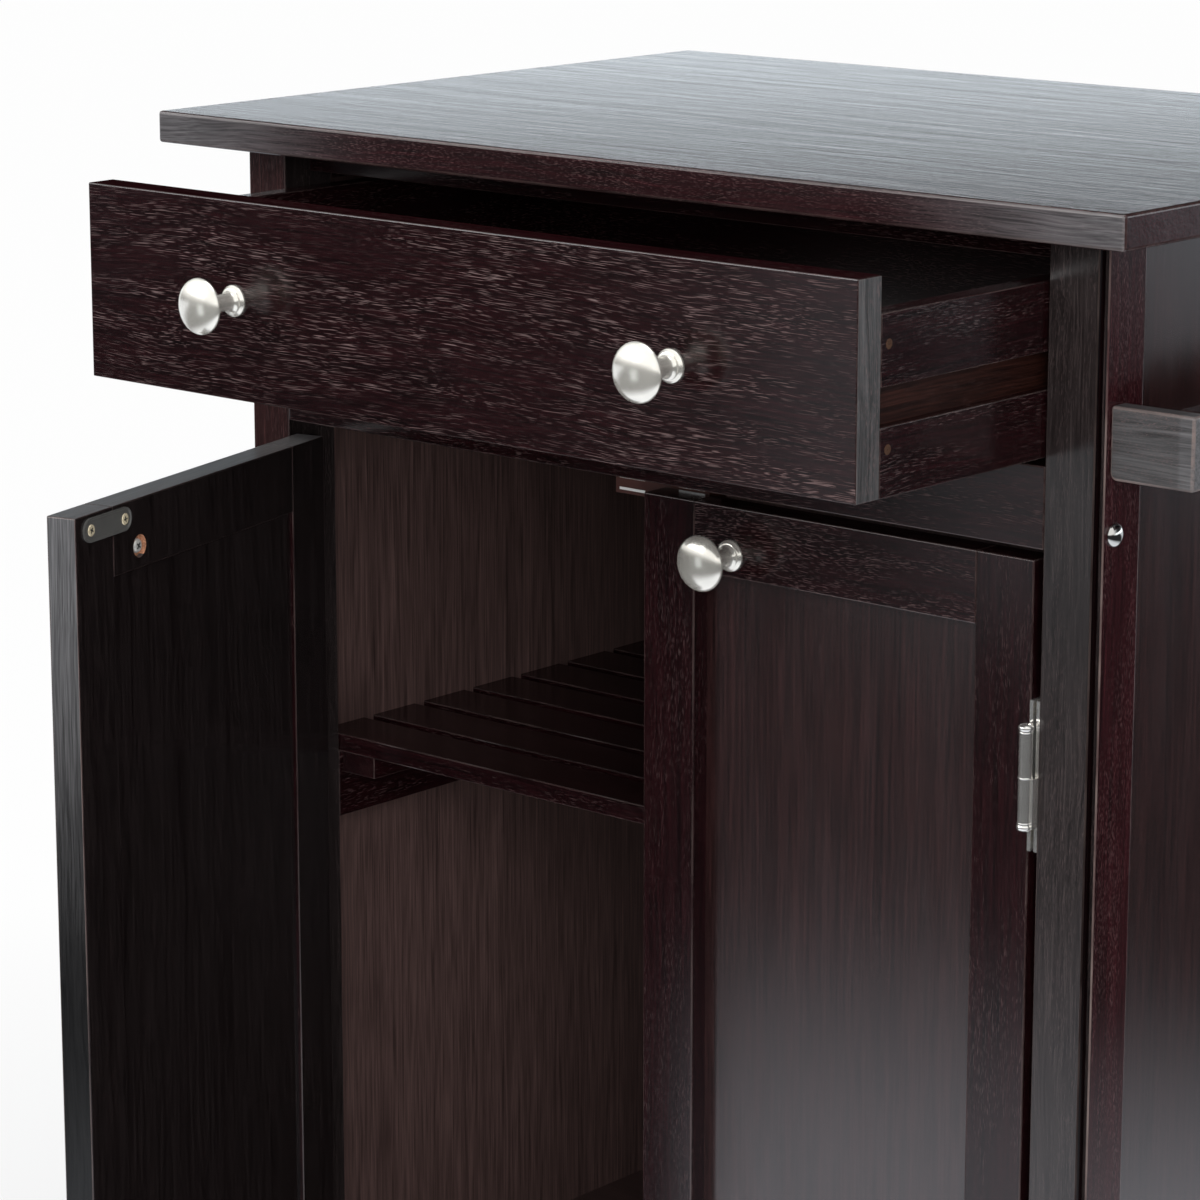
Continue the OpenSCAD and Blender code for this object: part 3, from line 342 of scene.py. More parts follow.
def raw_wood(name, tone=1.0):
    """Bare wood: the ends of pins and the walls of drilled holes."""
    bare = toned("raw_wood", tone)
    material, shader, add, place = new_material(name)
    grain = noise(add, place, 900.0, 3.0)
    shade = ramp(add, grain, (0.3, 0.0), (0.7, 1.0))
    bump = add("Bump", Height=grain, Strength=0.3, Distance=BUMP_HEIGHT)
    fill(shader, Base_Color=blend(add, shade, [part * 0.45 for part in bare], bare), Roughness=0.7,
         Specular_IOR_Level=0.15, Normal=bump.outputs[0])
    return material


def metal(name, colour, roughness, tone=1.0, scuffs=0.05, grain=2600.0, dull=0.9, metallic=1.0):
    """A metal with small scuffs in its shine and a slightly darker tone here and there."""
    bright = toned(colour, tone)
    material, shader, add, place = new_material(name)
    fine = noise(add, place, grain, 3.0, 0.6)
    shade = ramp(add, noise(add, place, 90.0, 2.0), (0.3, 0.0), (0.65, 1.0))
    shine = mapped(add, fine, 0.0, 1.0, max(roughness - scuffs, 0.03), roughness + scuffs)
    bump = add("Bump", Height=fine, Strength=0.02, Distance=BUMP_HEIGHT / 4)
    fill(shader, Base_Color=blend(add, shade, [part * dull for part in bright], bright), Roughness=shine,
         Metallic=metallic, Normal=bump.outputs[0])
    return material


def moulded(name, colour, roughness, tone=1.0):
    """Moulded plastic or rubber with a fine texture and faint dust."""
    clean = toned(colour, tone)
    dusty = [min(part * 1.9 + 0.01, 1) for part in clean]
    material, shader, add, place = new_material(name)
    fine = noise(add, place, 1100.0, 2.0)
    dust = noise(add, place, 60.0, 3.0)
    shade = ramp(add, dust, (0.45, 0.0), (0.8, 0.6))
    shine = mapped(add, dust, 0.0, 1.0, roughness - 0.06, roughness + 0.1)
    bump = add("Bump", Height=fine, Strength=0.18, Distance=BUMP_HEIGHT)
    fill(shader, Base_Color=blend(add, shade, clean, dusty), Roughness=shine, Normal=bump.outputs[0])
    return material


STILE = {"along": "Z", "pores": 0.32, "grain": 0.8}
RAIL = {"along": "X", "pores": 0.7, "grain": 0.8}
# Painted shade: the doors' backs take the shaded colour
BACK = {"along": "Z", "warm": "shaded", "pores": 0.12, "edge_highlight": 0.03}
VENEER = {"along": "Z", "warm": "veneer_warm", "pores": 0.12, "roughness": 0.19}
INNER = {"warm": "inside", "pores": 0.12, "dark": 0.4}
FINISHES = {
    "wood_x": partial(wood, "espresso along X", "X", pores=0.45),
    "wood_y": partial(wood, "espresso along Y", "Y", pores=0.5),
    "wood_z": partial(wood, "espresso upright", **STILE),
    # Painted sheen: the posts are grey, but their left faces toward the front take the warm copy below, with
    # no sheen painted
    "post": partial(wood, "espresso post", "Z", warm="post", pores=0.25, grain=0.7, edge_highlight=0.15,
                    dark=0.4, fine=2.6, gloss=0.75, roughness=0.2),
    "post_left": partial(wood, "espresso left post", "Z", warm="veneer_warm", tone=1.25, pores=0.2,
                         edge_highlight=0.15, dark=0.4, fine=1.6),
    # Painted shade: a near-black wood on the outward faces at the posts' step
    "post_gap": partial(wood, "espresso post gap", "Z", tone=0.25, pores=0.05, gloss=0.1),
    # Painted highlight: a pale line at the posts' shoulders
    "post_highlight_line": partial(wood, "espresso post shoulder", "Z", warm="end_grain", tone=4.2, pores=0.1,
                         edge_highlight=1.0, dark=0.7),
    "post_side": partial(wood, "espresso post side", "Z", tone=2.3, pores=0.3, grain=0.45, gloss=0.35,
                         roughness=0.12, edge_highlight=0.9),
    "worktop": partial(wood, "espresso worktop", "X", tone=1.9, pores=0.1, grain=0.8, roughness=0.12,
                       relief=0.15, waves=4.0),
    # Painted sheen: the worktop's front and back edges turn grey towards their ends
    "worktop_edge": partial(wood, "espresso worktop edge", "X", tone=1.9, pores=0.3, grain=0.5,
                            roughness=0.22, painted_sheen=("X", 0.16, 0.33, 0.75)),
    "drawer_face": partial(wood, "espresso drawer front", "X", tone=0.9, pores=1.0, grain=1.8,
                           edge_highlight=0.12),
    # Painted sheen: the drawer face's ends in grey
    "end": partial(wood, "espresso end grain", "Z", warm="end_grain", tone=1.3, pores=1.0, grain=0.6,
                   roughness=0.42, gloss=0.4, dark=0.05, fine=1.5),
    "groove": partial(wood, "thinly stained groove", "Y", warm="groove", pores=0.1, roughness=0.5,
                      gloss=0.08),
    "dull_x": partial(wood, "espresso upper edge", "X", pores=0.3, roughness=0.3, gloss=0.0),
    "rail_x": partial(wood, "espresso door rails", **RAIL),
    "door_x": partial(wood, "espresso open door rails", turn=DOOR_OPEN, **RAIL),
    "door_z": partial(wood, "espresso open door stiles", turn=DOOR_OPEN, **STILE),
    "upright_back": partial(wood, "espresso door back", **BACK),
    "door_back": partial(wood, "espresso open door back", turn=DOOR_OPEN, **BACK),
    # Painted sheen: the open door's edge is dark and turns grey towards its top
    "door_edge": partial(wood, "espresso open door edge", "Z", turn=DOOR_OPEN, warm="end_grain", tone=0.15,
                         pores=0.2, roughness=0.2, edge_highlight=0.8, dark=0.5, painted_sheen=("Z", 0.4, 0.7, 0.85)),
    # Painted sheen: the open door's top in grey
    "door_top": partial(wood, "espresso open door top", "X", turn=DOOR_OPEN, warm="end_grain", tone=1.3,
                        pores=0.6, roughness=0.3, dark=0.4, fine=1.5),
    "veneer": partial(wood, "veneer upright", gloss=1.0, **VENEER),
    "veneer_inner": partial(wood, "veneer inside", "Z", roughness=0.34, **INNER),
    "veneer_front": partial(wood, "veneer closed door", tone=0.85, gloss=1.0, **VENEER),
    "door_veneer": partial(wood, "veneer open door", turn=DOOR_OPEN, tone=0.85, **VENEER),
    "veneer_x": partial(wood, "veneer along X", "X", tone=0.6, roughness=0.3, **INNER),
    # Painted sheen: the handle in grey, greyer still beyond about 0.33 m out along X
    "handle": partial(wood, "espresso handle", "X", warm="end_grain", tone=1.4, pores=1.0, grain=0.25,
                      roughness=0.36, dark=0.55, edge_highlight=1.0, painted_sheen=("X", 0.327, 0.3295, 0.6)),
    "raw": partial(raw_wood, "bare drilled wood"),
    "pin": partial(raw_wood, "bare pin ends", tone=0.13),
    # Painted highlight in part: knobs and hinges are partly diffuse so they read bright
    "nickel": partial(metal, "satin nickel", "nickel", 0.2, scuffs=0.03, metallic=0.78),
    "hinge": partial(metal, "polished hinge steel", "hinge_steel", 0.16, scuffs=0.03, metallic=0.91),
    "bolt": partial(metal, "polished bolt steel", "steel", 0.08, scuffs=0.02),
    # Painted highlight: the pole plates are mostly diffuse white
    "pole": partial(metal, "pole plates", "pole_steel_highlight", 0.3, metallic=0.4),
    "zinc": partial(metal, "zinc screws", "steel", 0.2, dull=0.8, metallic=0.5),
    "brassy": partial(metal, "yellow zinc screws", "brassy", 0.22, dull=0.8, metallic=0.5),
    "recess": partial(metal, "shaded recess", "steel", 0.5, tone=0.05, metallic=0.5),
    "plate": partial(metal, "rolled steel plate", "steel", 0.36, tone=0.25, metallic=0.6),
    "pressed": partial(metal, "pressed caster steel", "steel", 0.34, tone=0.7, scuffs=0.08, grain=900.0,
                       dull=0.7),
    "rubber": partial(moulded, "tread rubber", "rubber", 0.55),
    "hub": partial(moulded, "wheel core plastic", "hub", 0.4),
    "pedal": partial(moulded, "pedal plastic", "rubber", 0.42, tone=1.2),
    "catch": partial(moulded, "brown catch plastic", "catch", 0.38),
}


@cache
def finish(name):
    """The finish of that name, made the first time it is asked for."""
    return FINISHES[name]()


# Mesh helpers

VERT, EDGE, FACE = bmesh.types.BMVert, bmesh.types.BMEdge, bmesh.types.BMFace
FACING = 0.8
SEED_STEP = 0.37


def only(items, kind):
    """Those items of a bmesh that are of a kind."""
    return [item for item in items if isinstance(item, kind)]


def since(mesh, before):
    """The faces that a mesh has gained."""
    return [face for face in mesh.faces if face not in before]


def points_of(faces):
    """The points of some faces, each once."""
    return list({vert for face in faces for vert in face.verts})


def quarter(steps, first=0):
    """Angles from 0 to 90 degrees in steps."""
    return [math.pi / 2 * k / steps for k in range(first, steps + 1)]


def box(node):
    """Lowest and highest corner of a CAD node."""
    return [Vector(corner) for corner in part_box(node)]


def spread(points):
    """Lowest and highest corner of some points."""
    low = Vector(min(p[i] for p in points) for i in range(3))
    high = Vector(max(p[i] for p in points) for i in range(3))
    return low, high


def islands(node, turn=None):
    """The separate solids of a CAD node as lists of points, with a turn taken back if one is given."""
    mesh = bmesh.new()
    mesh.from_mesh(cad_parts[node].data)
    bmesh.ops.remove_doubles(mesh, verts=mesh.verts, dist=1e-6)
    if turn:
        bmesh.ops.transform(mesh, matrix=turn.inverted(), verts=mesh.verts)
    unseen, found = set(mesh.verts), []
    while unseen:
        reached = [unseen.pop()]
        for vert in reached:
            for edge in vert.link_edges:
                other = edge.other_vert(vert)
                if other in unseen:
                    unseen.remove(other)
                    reached.append(other)
        found.append([vert.co.copy() for vert in reached])
    mesh.free()
    return sorted(found, key=lambda points: tuple(round(v, 4) for v in spread(points)[0]))


def solids(node, turn=None):
    """The boxes of a CAD node's solids."""
    return [spread(points) for points in islands(node, turn)]


def begin():
    """A bmesh with the two values that the wood reads: which board it is, and where it is eased."""
    mesh = bmesh.new()
    mesh.faces.layers.float.new("board")
    mesh.faces.layers.float.new("eased")
    return mesh


def mark(mesh, faces, layer, value):
    """Gives faces their value in a layer that the wood reads."""
    key = mesh.faces.layers.float[layer]
    for face in faces:
        face[key] = value


def mark_material(faces, index):
    """Gives faces one of the piece's finishes."""
    for face in faces:
        face.material_index = index


def ease(mesh, edges, radius, segments=3):
    """Rounds edges and marks the new faces as eased."""
    made = bmesh.ops.bevel(mesh, geom=list(edges), offset=radius, offset_type="OFFSET", segments=segments,
                           profile=0.5, affect="EDGES", material=-1, clamp_overlap=True)
    mark(mesh, made["faces"], "eased", 1.0)


def add_board(mesh, low, high, radius, seed, segments=3):
    """A board between two corners with rounded edges; returns its faces."""
    before = set(mesh.faces)
    verts = bmesh.ops.create_cube(mesh, size=1.0)["verts"]
    bmesh.ops.scale(mesh, vec=high - low, verts=verts)
    bmesh.ops.translate(mesh, vec=(low + high) / 2, verts=verts)
    edges = {edge for vert in verts for edge in vert.link_edges}
    ease(mesh, edges, min(radius, min(high - low) * 0.4), segments)
    mark(mesh, since(mesh, before), "board", seed)
    return since(mesh, before)


def add_prism(mesh, points, path):
    """Moves the points' polygon along a path; returns the new faces and the moved points."""
    before = set(mesh.faces)
    face = mesh.faces.new([mesh.verts.new(point) for point in points])
    far = only(bmesh.ops.extrude_face_region(mesh, geom=[face])["geom"], VERT)
    bmesh.ops.translate(mesh, vec=path, verts=far)
    fresh = since(mesh, before)
    bmesh.ops.recalc_face_normals(mesh, faces=fresh)
    return fresh, far


def add_outline(mesh, points, path, radius, seed, keep=()):
    """A board with a drawn section, moved along a path; all sharp edges but those to keep are rounded."""
    def kept(edge):
        return any(all((vert.co - Vector(point)).cross(path).length < 1e-5 for vert in edge.verts)
                   for point in keep)

    before = set(mesh.faces)
    fresh, _ = add_prism(mesh, points, path)
    edges = {edge for face in fresh for edge in face.edges}
    ease(mesh, [edge for edge in edges if edge.is_manifold and edge.calc_face_angle() > 0.5
                and not kept(edge)], radius)
    mark(mesh, since(mesh, before), "board", seed)


def stand(mesh, faces, place, axis, spin=0.0):
    """Spins faces made about Z, lays their axis along another and takes them to their place."""
    turn = Vector((0, 0, 1)).rotation_difference(Vector(axis)).to_matrix().to_4x4()
    matrix = Matrix.Translation(place) @ turn @ Matrix.Rotation(spin, 4, "Z")
    bmesh.ops.transform(mesh, matrix=matrix, verts=points_of(faces))


def add_turned(mesh, profile, place, axis, steps):
    """A turned form: (radius, height) pairs spun about an axis that starts at a place."""
    before = set(mesh.faces)
    verts = [mesh.verts.new((radius, 0, height)) for radius, height in profile]
    edges = [mesh.edges.new(pair) for pair in zip(verts, verts[1:])]
    bmesh.ops.spin(mesh, geom=verts + edges, cent=(0, 0, 0), axis=(0, 0, 1), angle=math.tau, steps=steps,
                   use_merge=True, use_duplicate=False)
    bmesh.ops.remove_doubles(mesh, verts=points_of(since(mesh, before)), dist=1e-7)
    fresh = since(mesh, before)
    bmesh.ops.recalc_face_normals(mesh, faces=fresh)
    stand(mesh, fresh, place, axis)
    for face in fresh:
        face.smooth = True


def mirrored(half):
    """A (radius, height) profile from its upper half, which starts at the inner end."""
    return [(radius, -height) for radius, height in half] + half[::-1]


def rounded(corners, radius, steps):
    """A profile whose inner corners are rounded; the first and last points stay."""
    points = [Vector(c) for c in corners]
    out = [points[0]]
    for before, here, after in zip(points, points[1:], points[2:]):
        reach = min(radius, (here - before).length * 0.45, (after - here).length * 0.45)
        start = here + (before - here).normalized() * reach
        end = here + (after - here).normalized() * reach
        for i in range(steps + 1):
            t = i / steps
            out.append(start * (1 - t) ** 2 + here * 2 * t * (1 - t) + end * t * t)
    out.append(points[-1])
    return [(p.x, p.y) for p in out]


def piece(name, mesh, body, finishes, nodes=(), turn=None):
    """Turns a bmesh into a finished object that rides on a body and stands for CAD nodes."""
    if turn:
        bmesh.ops.transform(mesh, matrix=turn, verts=mesh.verts)
    data = bpy.data.meshes.new(name)
    mesh.to_mesh(data)
    mesh.free()
    for each in finishes:
        data.materials.append(finish(each))
    made = bpy.data.objects.new(name, data)
    bpy.context.scene.collection.objects.link(made)
    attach(made, body)
    if nodes:
        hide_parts(*nodes)


def boards(name, node, body, finishes, radius, seed, tests=(), turn=None, segments=3):
    """Stands eased boards in the boxes of a CAD node's solids.

    The tests say which faces take the second finish, the third and so on.
    """
    mesh = begin()
    for i, (low, high) in enumerate(solids(node, turn)):
        add_board(mesh, low, high, radius, seed + SEED_STEP * i, segments)
    mesh.normal_update()
    for index, test in enumerate(tests, 1):
        mark_material([face for face in mesh.faces if test(face)], index)
    piece(name, mesh, body, finishes, [node], turn)


def paint(node, finish_name):
    """Gives a CAD node that stays as it is its finish."""
    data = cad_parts[node].data
    data.materials.clear()
    data.materials.append(finish(finish_name))


# Wooden pieces

class CART_OT_worktop(bpy.types.Operator):
    """Lay the worktop with its rounded edges"""
    bl_idname = "cart.worktop"
    bl_label = "Worktop"

    def execute(self, context):
        boards("worktop_board", "worktop", "cabinet", ["worktop", "worktop_edge"], sizes().worktop_ease,
               seed=0.11, tests=[lambda face: abs(face.normal.y) > FACING], segments=4)
        return {"FINISHED"}


class CART_OT_posts(bpy.types.Operator):
    """Stand the four stepped corner posts"""
    bl_idname = "cart.posts"
    bl_label = "Corner posts"

    def execute(self, context):
        step, proud, radius = sizes().post_step, sizes().post_proud, sizes().board_ease * 0.9
        names = ["post", "post_side", "post_gap", "post_highlight_line", "post_left"]
        for node, outside in (("front_posts", -1), ("rear_posts", 1)):
            mesh = begin()
            for i, (low, high) in enumerate(solids(node)):
                side = -1 if i == 0 else 1
                inner, outer = (high.x, low.x) if side < 0 else (low.x, high.x)
                face, back = (low.y, high.y) if outside < 0 else (high.y, low.y)
                shoulder, flat = face - outside * step, outer - side * proud
                outline = [(inner, face), (flat, face), (flat, shoulder), (outer, shoulder), (outer, back),
                           (inner, back)]
                points = [(x, y, low.z) for x, y in outline]
                add_outline(mesh, points, Vector((0, 0, high.z - low.z)), radius, 0.21 + 0.3 * i,
                            keep=[points[2]])
            mesh.normal_update()
            near_shoulder, slack = (shoulder + outside * 0.0015) * outside, 0.0004
            for face in mesh.faces:
                middle = face.calc_center_median()
                beyond = abs(middle.x) - abs(flat)
                if abs(face.normal.z) >= 0.5:
                    continue
                # Painted highlight: the faces at the shoulder take the pale line
                if middle.y * outside > near_shoulder and beyond > slack:
                    face.material_index = names.index("post_highlight_line")
                # Outward faces: those at the step get painted shade, the rest the side finish
                elif face.normal.x * middle.x > 0:
                    face.material_index = names.index("post_gap" if beyond < slack else "post_side")
                elif face.normal.y < -0.5 and middle.x < 0:
                    face.material_index = names.index("post_left")
            piece(f"{node}_eased", mesh, "cabinet", names, [node])
        return {"FINISHED"}


class CART_OT_rails(bpy.types.Operator):
    """Put in the rails, panels, floor and runners of the cabinet"""
    bl_idname = "cart.rails"
    bl_label = "Rails and panels"

    def execute(self, context):
        radius, thin = sizes().board_ease, sizes().board_ease * 0.5

        def inward(face):
            return face.normal.x * face.calc_center_median().x < -0.1 or face.normal.y < -0.9

        for name, node, along, edge, seed in (
                ("drawer_rail_board", "drawer_rail", "wood_x", radius, 0.15),
                ("front_bottom_rail_board", "front_bottom_rail", "wood_x", radius, 0.52),
                ("front_top_rail_board", "front_top_rail", "wood_x", thin, 0.73),
                ("back_rail_boards", "back_rails", "wood_x", thin, 0.33),
                ("side_top_rail_boards", "side_top_rails", "wood_y", thin, 0.41),
                ("side_shelf_rail_boards", "side_shelf_rails", "wood_y", thin, 0.62),
                ("side_bottom_rail_boards", "side_bottom_rails", "wood_y", thin, 0.83)):
            boards(name, node, "cabinet", [along], edge, seed)
        for name, node, seed in (("side_panel_boards", "side_panels", 0.27),
                                 ("back_panel_board", "back_panel", 0.94)):
            boards(name, node, "cabinet", ["veneer", "veneer_inner"], sizes().panel_ease, seed, [inward])
        boards("shelf_batten_boards", "shelf_battens", "cabinet", ["wood_y"], radius * 0.7, seed=0.36)
        boards("runner_boards", "drawer_runners", "cabinet", ["wood_y"], radius=0.0005, seed=0.48)
        paint("cupboard_floor", "veneer_x")
        return {"FINISHED"}


class CART_OT_shelf(bpy.types.Operator):
    """Lay the shelf's slats"""
    bl_idname = "cart.shelf"
    bl_label = "Shelf"

    def execute(self, context):
        boards("shelf_slat_boards", "shelf_slats", "cabinet", ["wood_x"], sizes().board_ease, seed=0.19)
        return {"FINISHED"}


class CART_OT_drawer(bpy.types.Operator):
    """Build the drawer: its face, grooved sides, ends, bottom and corner pins"""
    bl_idname = "cart.drawer"
    bl_label = "Drawer"

    def execute(self, context):
        s, crisp, slack = sizes(), 0.0007, 0.0005
        boards("drawer_face", "drawer_front", "drawer", ["drawer_face", "end", "dull_x"], crisp, seed=0.31,
               tests=[lambda face: abs(face.normal.x) > FACING, lambda face: face.normal.z > FACING])

        mesh = begin()
        for i, (low, high) in enumerate(solids("drawer_sides")):
            outer, inner = (low.x, high.x) if i == 0 else (high.x, low.x)
            web = outer + math.copysign(s.groove_depth, inner - outer)
            foot = low.z + s.groove_lift
            head = foot + s.groove_width
            outline = [(inner, low.z), (outer, low.z), (outer, foot), (web, foot), (web, head),
                       (outer, head), (outer, high.z), (inner, high.z)]
            points = [(x, low.y, z) for x, z in outline]
            add_outline(mesh, points, Vector((0, high.y - low.y, 0)), s.board_ease * 0.8, 0.57 + 0.2 * i,
                        keep=[points[3], points[4]])
            mesh.normal_update()
            for face in mesh.faces:
                middle = face.calc_center_median()
                within = slack < abs(middle.x - inner) < abs(outer - inner) - slack
                if within and foot < middle.z < head and abs(face.normal.y) < 0.5:
                    face.material_index = 1
        piece("drawer_side_boards", mesh, "drawer", ["wood_y", "groove"], ["drawer_sides"])
        boards("drawer_box_front_board", "drawer_box_front", "drawer", ["wood_x"], crisp, seed=0.66)
        boards("drawer_back_board", "drawer_back", "drawer", ["wood_x"], crisp, seed=0.77)
        boards("drawer_bottom_board", "drawer_bottom", "drawer", ["veneer_x"], s.panel_ease, seed=0.05)

        mesh, proud = begin(), 0.00015
        for low, high in solids("drawer_pins"):
            middle, length, radius = (low + high) / 2, high.x - low.x, (high.z - low.z) / 2
            out = math.copysign(1, middle.x)
            tip = Vector((middle.x + out * (length / 2 + proud), middle.y, middle.z))
            profile = [(0, -length), (radius, -length), (radius, -0.0003), (radius - 0.0004, 0.0),
                       (radius * 0.4, 0.0), (0, -0.0002)]
            add_turned(mesh, profile, tip, (out, 0, 0), 24)
        piece("drawer_corner_pins", mesh, "drawer", ["pin"], ["drawer_pins"])
        return {"FINISHED"}


def add_counterbore(mesh, rail, middle, radius, depth):
    """Sinks a round recess into the back face of a door's rail; returns the recess's own faces."""
    back = max(rail, key=lambda face: face.normal.y * face.calc_area())
    rim = list(back.edges)
    level, seed = back.verts[0].co.y, back[mesh.faces.layers.float["board"]]
    turn = Matrix.Translation((middle.x, level, middle.z)) @ Matrix.Rotation(math.radians(-90), 4, "X")
    circle = bmesh.ops.create_circle(mesh, cap_ends=False, radius=radius, segments=40, matrix=turn)["verts"]
    ring = list({edge for vert in circle for edge in vert.link_edges})
    bmesh.ops.delete(mesh, geom=[back], context="FACES_ONLY")
    filled = bmesh.ops.triangle_fill(mesh, edges=rim + ring, use_beauty=True, use_dissolve=False,
                                     normal=(0, 1, 0))
    collar = only(filled["geom"], FACE)
    inside = [face for face in collar if all(vert in circle for vert in face.verts)]
    bmesh.ops.delete(mesh, geom=inside, context="FACES_ONLY")
    collar = [face for face in collar if face.is_valid]
    mark(mesh, collar, "board", seed)
    mark_material(collar, 1)
    wall = bmesh.ops.extrude_edge_only(mesh, edges=ring)["geom"]
    deep = only(wall, VERT)
    bmesh.ops.translate(mesh, vec=(0, -depth, 0), verts=deep)
    foot = [edge for edge in only(wall, EDGE) if all(vert in deep for vert in edge.verts)]
    faces = only(wall, FACE) + bmesh.ops.contextual_create(mesh, geom=foot)["faces"]
    bmesh.ops.recalc_face_normals(mesh, faces=mesh.faces)
    return faces


class CART_OT_doors(bpy.types.Operator):
    """Frame both doors and set their panels; the left one stands open"""
    bl_idname = "cart.doors"
    bl_label = "Doors"

    def execute(self, context):
        s, tongue, slack = sizes(), 0.0001, 0.001
        rails, bores, edges, backs, tops = range(1, 6)
        for side, turn in DOORS:
            body, seed = f"{side}_door", 0.12 if turn else 0.58
            low, high = solids(f"{side}_door_frame", turn)[0]
            left, right = low.x + s.stile_width, high.x - s.stile_width
            mesh = begin()
            for start, end in ((low.x, left), (right, high.x)):
                stile = add_board(mesh, Vector((start, low.y, low.z)), Vector((end, high.y, high.z)),
                                  s.board_ease, seed + start)
                mesh.normal_update()
                mark_material([face for face in stile if abs(face.normal.x) > FACING
                               and not left - slack < face.calc_center_median().x < right + slack], edges)
            for start, end in ((low.z, low.z + s.bottom_rail), (high.z - s.top_rail, high.z)):
                rail = add_board(mesh, Vector((left - tongue, low.y, start)),
                                 Vector((right + tongue, high.y, end)), s.board_ease, seed + start)
                mark_material(rail, rails)
            knob_low, knob_high = solids(f"{side}_door_knob", turn)[0]
            bore = add_counterbore(mesh, rail, (knob_low + knob_high) / 2, radius=0.00625, depth=0.003)
            mark_material(bore, bores)
            mesh.normal_update()
            mark_material([face for face in mesh.faces
                           if face.normal.y > FACING and face.material_index < bores], backs)
            names = ["wood_z", "rail_x", "raw", "wood_z", "upright_back"]
            if turn:
                mark_material([face for face in mesh.faces if face.normal.z > FACING], tops)
                names = ["door_z", "door_x", "raw", "door_edge", "door_back", "door_top"]
            piece(f"{side}_door_boards", mesh, body, names, [f"{side}_door_frame"], turn)
            names = ["door_veneer", "door_back"] if turn else ["veneer_front", "upright_back"]
            boards(f"{side}_door_panel_board", f"{side}_door_panel", body, names, s.panel_ease, seed + 0.32,
                   [lambda face: face.normal.y > FACING], turn)
        return {"FINISHED"}


class CART_OT_handle(bpy.types.Operator):
    """Fix the side handle with its two brackets"""
    bl_idname = "cart.handle"
    bl_label = "Side handle"

    def execute(self, context):
        mesh, bend, brackets = begin(), 0.004, solids("handle_brackets")
        for i, (low, high) in enumerate(brackets):
            arc = [(low.x + bend * (1 - math.sin(a)), low.z + bend * (1 - math.cos(a))) for a in quarter(8)]
            points = [(x, low.y, z) for x, z in arc + [(low.x, high.z), (high.x, high.z), (high.x, low.z)]]
            add_outline(mesh, points, Vector((0, high.y - low.y, 0)), radius=0.0014, seed=0.63 + 0.2 * i)
        piece("handle_bracket_boards", mesh, "cabinet", ["handle"], ["handle_brackets"])
        mesh = begin()
        low, high = box("handle_rail")
        front, rear = brackets
        low.y, high.y = front[1].y, rear[0].y
        add_board(mesh, low, high, radius=0.002, seed=0.29, segments=4)
        piece("handle_rail_board", mesh, "cabinet", ["wood_y"], ["handle_rail"])
        return {"FINISHED"}


# Metal fittings

def knob_profile(head, base, length):
    """A mushroom knob as (radius, height) pairs from its foot to its crown."""
    neck, dome, waist = 0.0046, 0.006, base - 0.0013
    rim = length - dome
    foot = [(0, 0), (base, 0), (base, 0.0012), (base - 0.0003, 0.0018), (base - 0.0011, 0.0022),
            (waist, 0.0028)]
    scoop = [(waist - (waist - neck) * math.sin(a), 0.0028 + 0.004 * (1 - math.cos(a)))
             for a in quarter(8, 1)]
    flare = [(neck + (head - 0.0008 - neck) * (1 - math.cos(a)), rim - 0.009 + 0.008 * math.sin(a))
             for a in quarter(12)]
    lip = [(head - 0.0002, rim - 0.0007), (head, rim - 0.0002), (head, rim + 0.0002)]
    crown = [(head * math.cos(a), rim + dome * math.sin(a)) for a in quarter(14, 1)[:-1]]
    return foot + scoop + flare + lip + crown + [(0, length)]


class CART_OT_knobs(bpy.types.Operator):
    """Turn the four knobs"""
    bl_idname = "cart.knobs"
    bl_label = "Knobs"

    def execute(self, context):
        base = 0.0085
        for node, body, turn in (("drawer_knobs", "drawer", None), ("left_door_knob", "left_door", OPENED),
                                 ("right_door_knob", "right_door", None)):
            mesh = begin()
            for low, high in solids(node, turn):
                middle = (low + high) / 2
                foot = Vector((middle.x, high.y, middle.z))
                profile = knob_profile((high.x - low.x) / 2, base, high.y - low.y)
                add_turned(mesh, profile, foot, (0, -1, 0), 72)
            piece(f"{node}_turned", mesh, body, ["nickel"], [node], turn)
        return {"FINISHED"}


# A screw head's rings as shares of its radius and height, and the heights of raised and sunk heads
HEAD_RINGS = ((1.0, 0.35), (0.93, 0.72), (0.8, 0.95), (0.62, 1.0))
PAN_HEIGHT = 0.0024
SUNK_HEIGHT = 0.0005
SUNK_SEAT = 0.0002


def raise_loop(mesh, loop, wide, level):
    """Pulls a flat loop of edges out into a wall whose far side is wider or narrower, at a level on Z."""
    grown = bmesh.ops.extrude_edge_only(mesh, edges=loop)["geom"]
    verts = set(only(grown, VERT))
    for vert in verts:
        vert.co = (vert.co.x * wide, vert.co.y * wide, level)
    return [edge for edge in only(grown, EDGE) if verts.issuperset(edge.verts)]


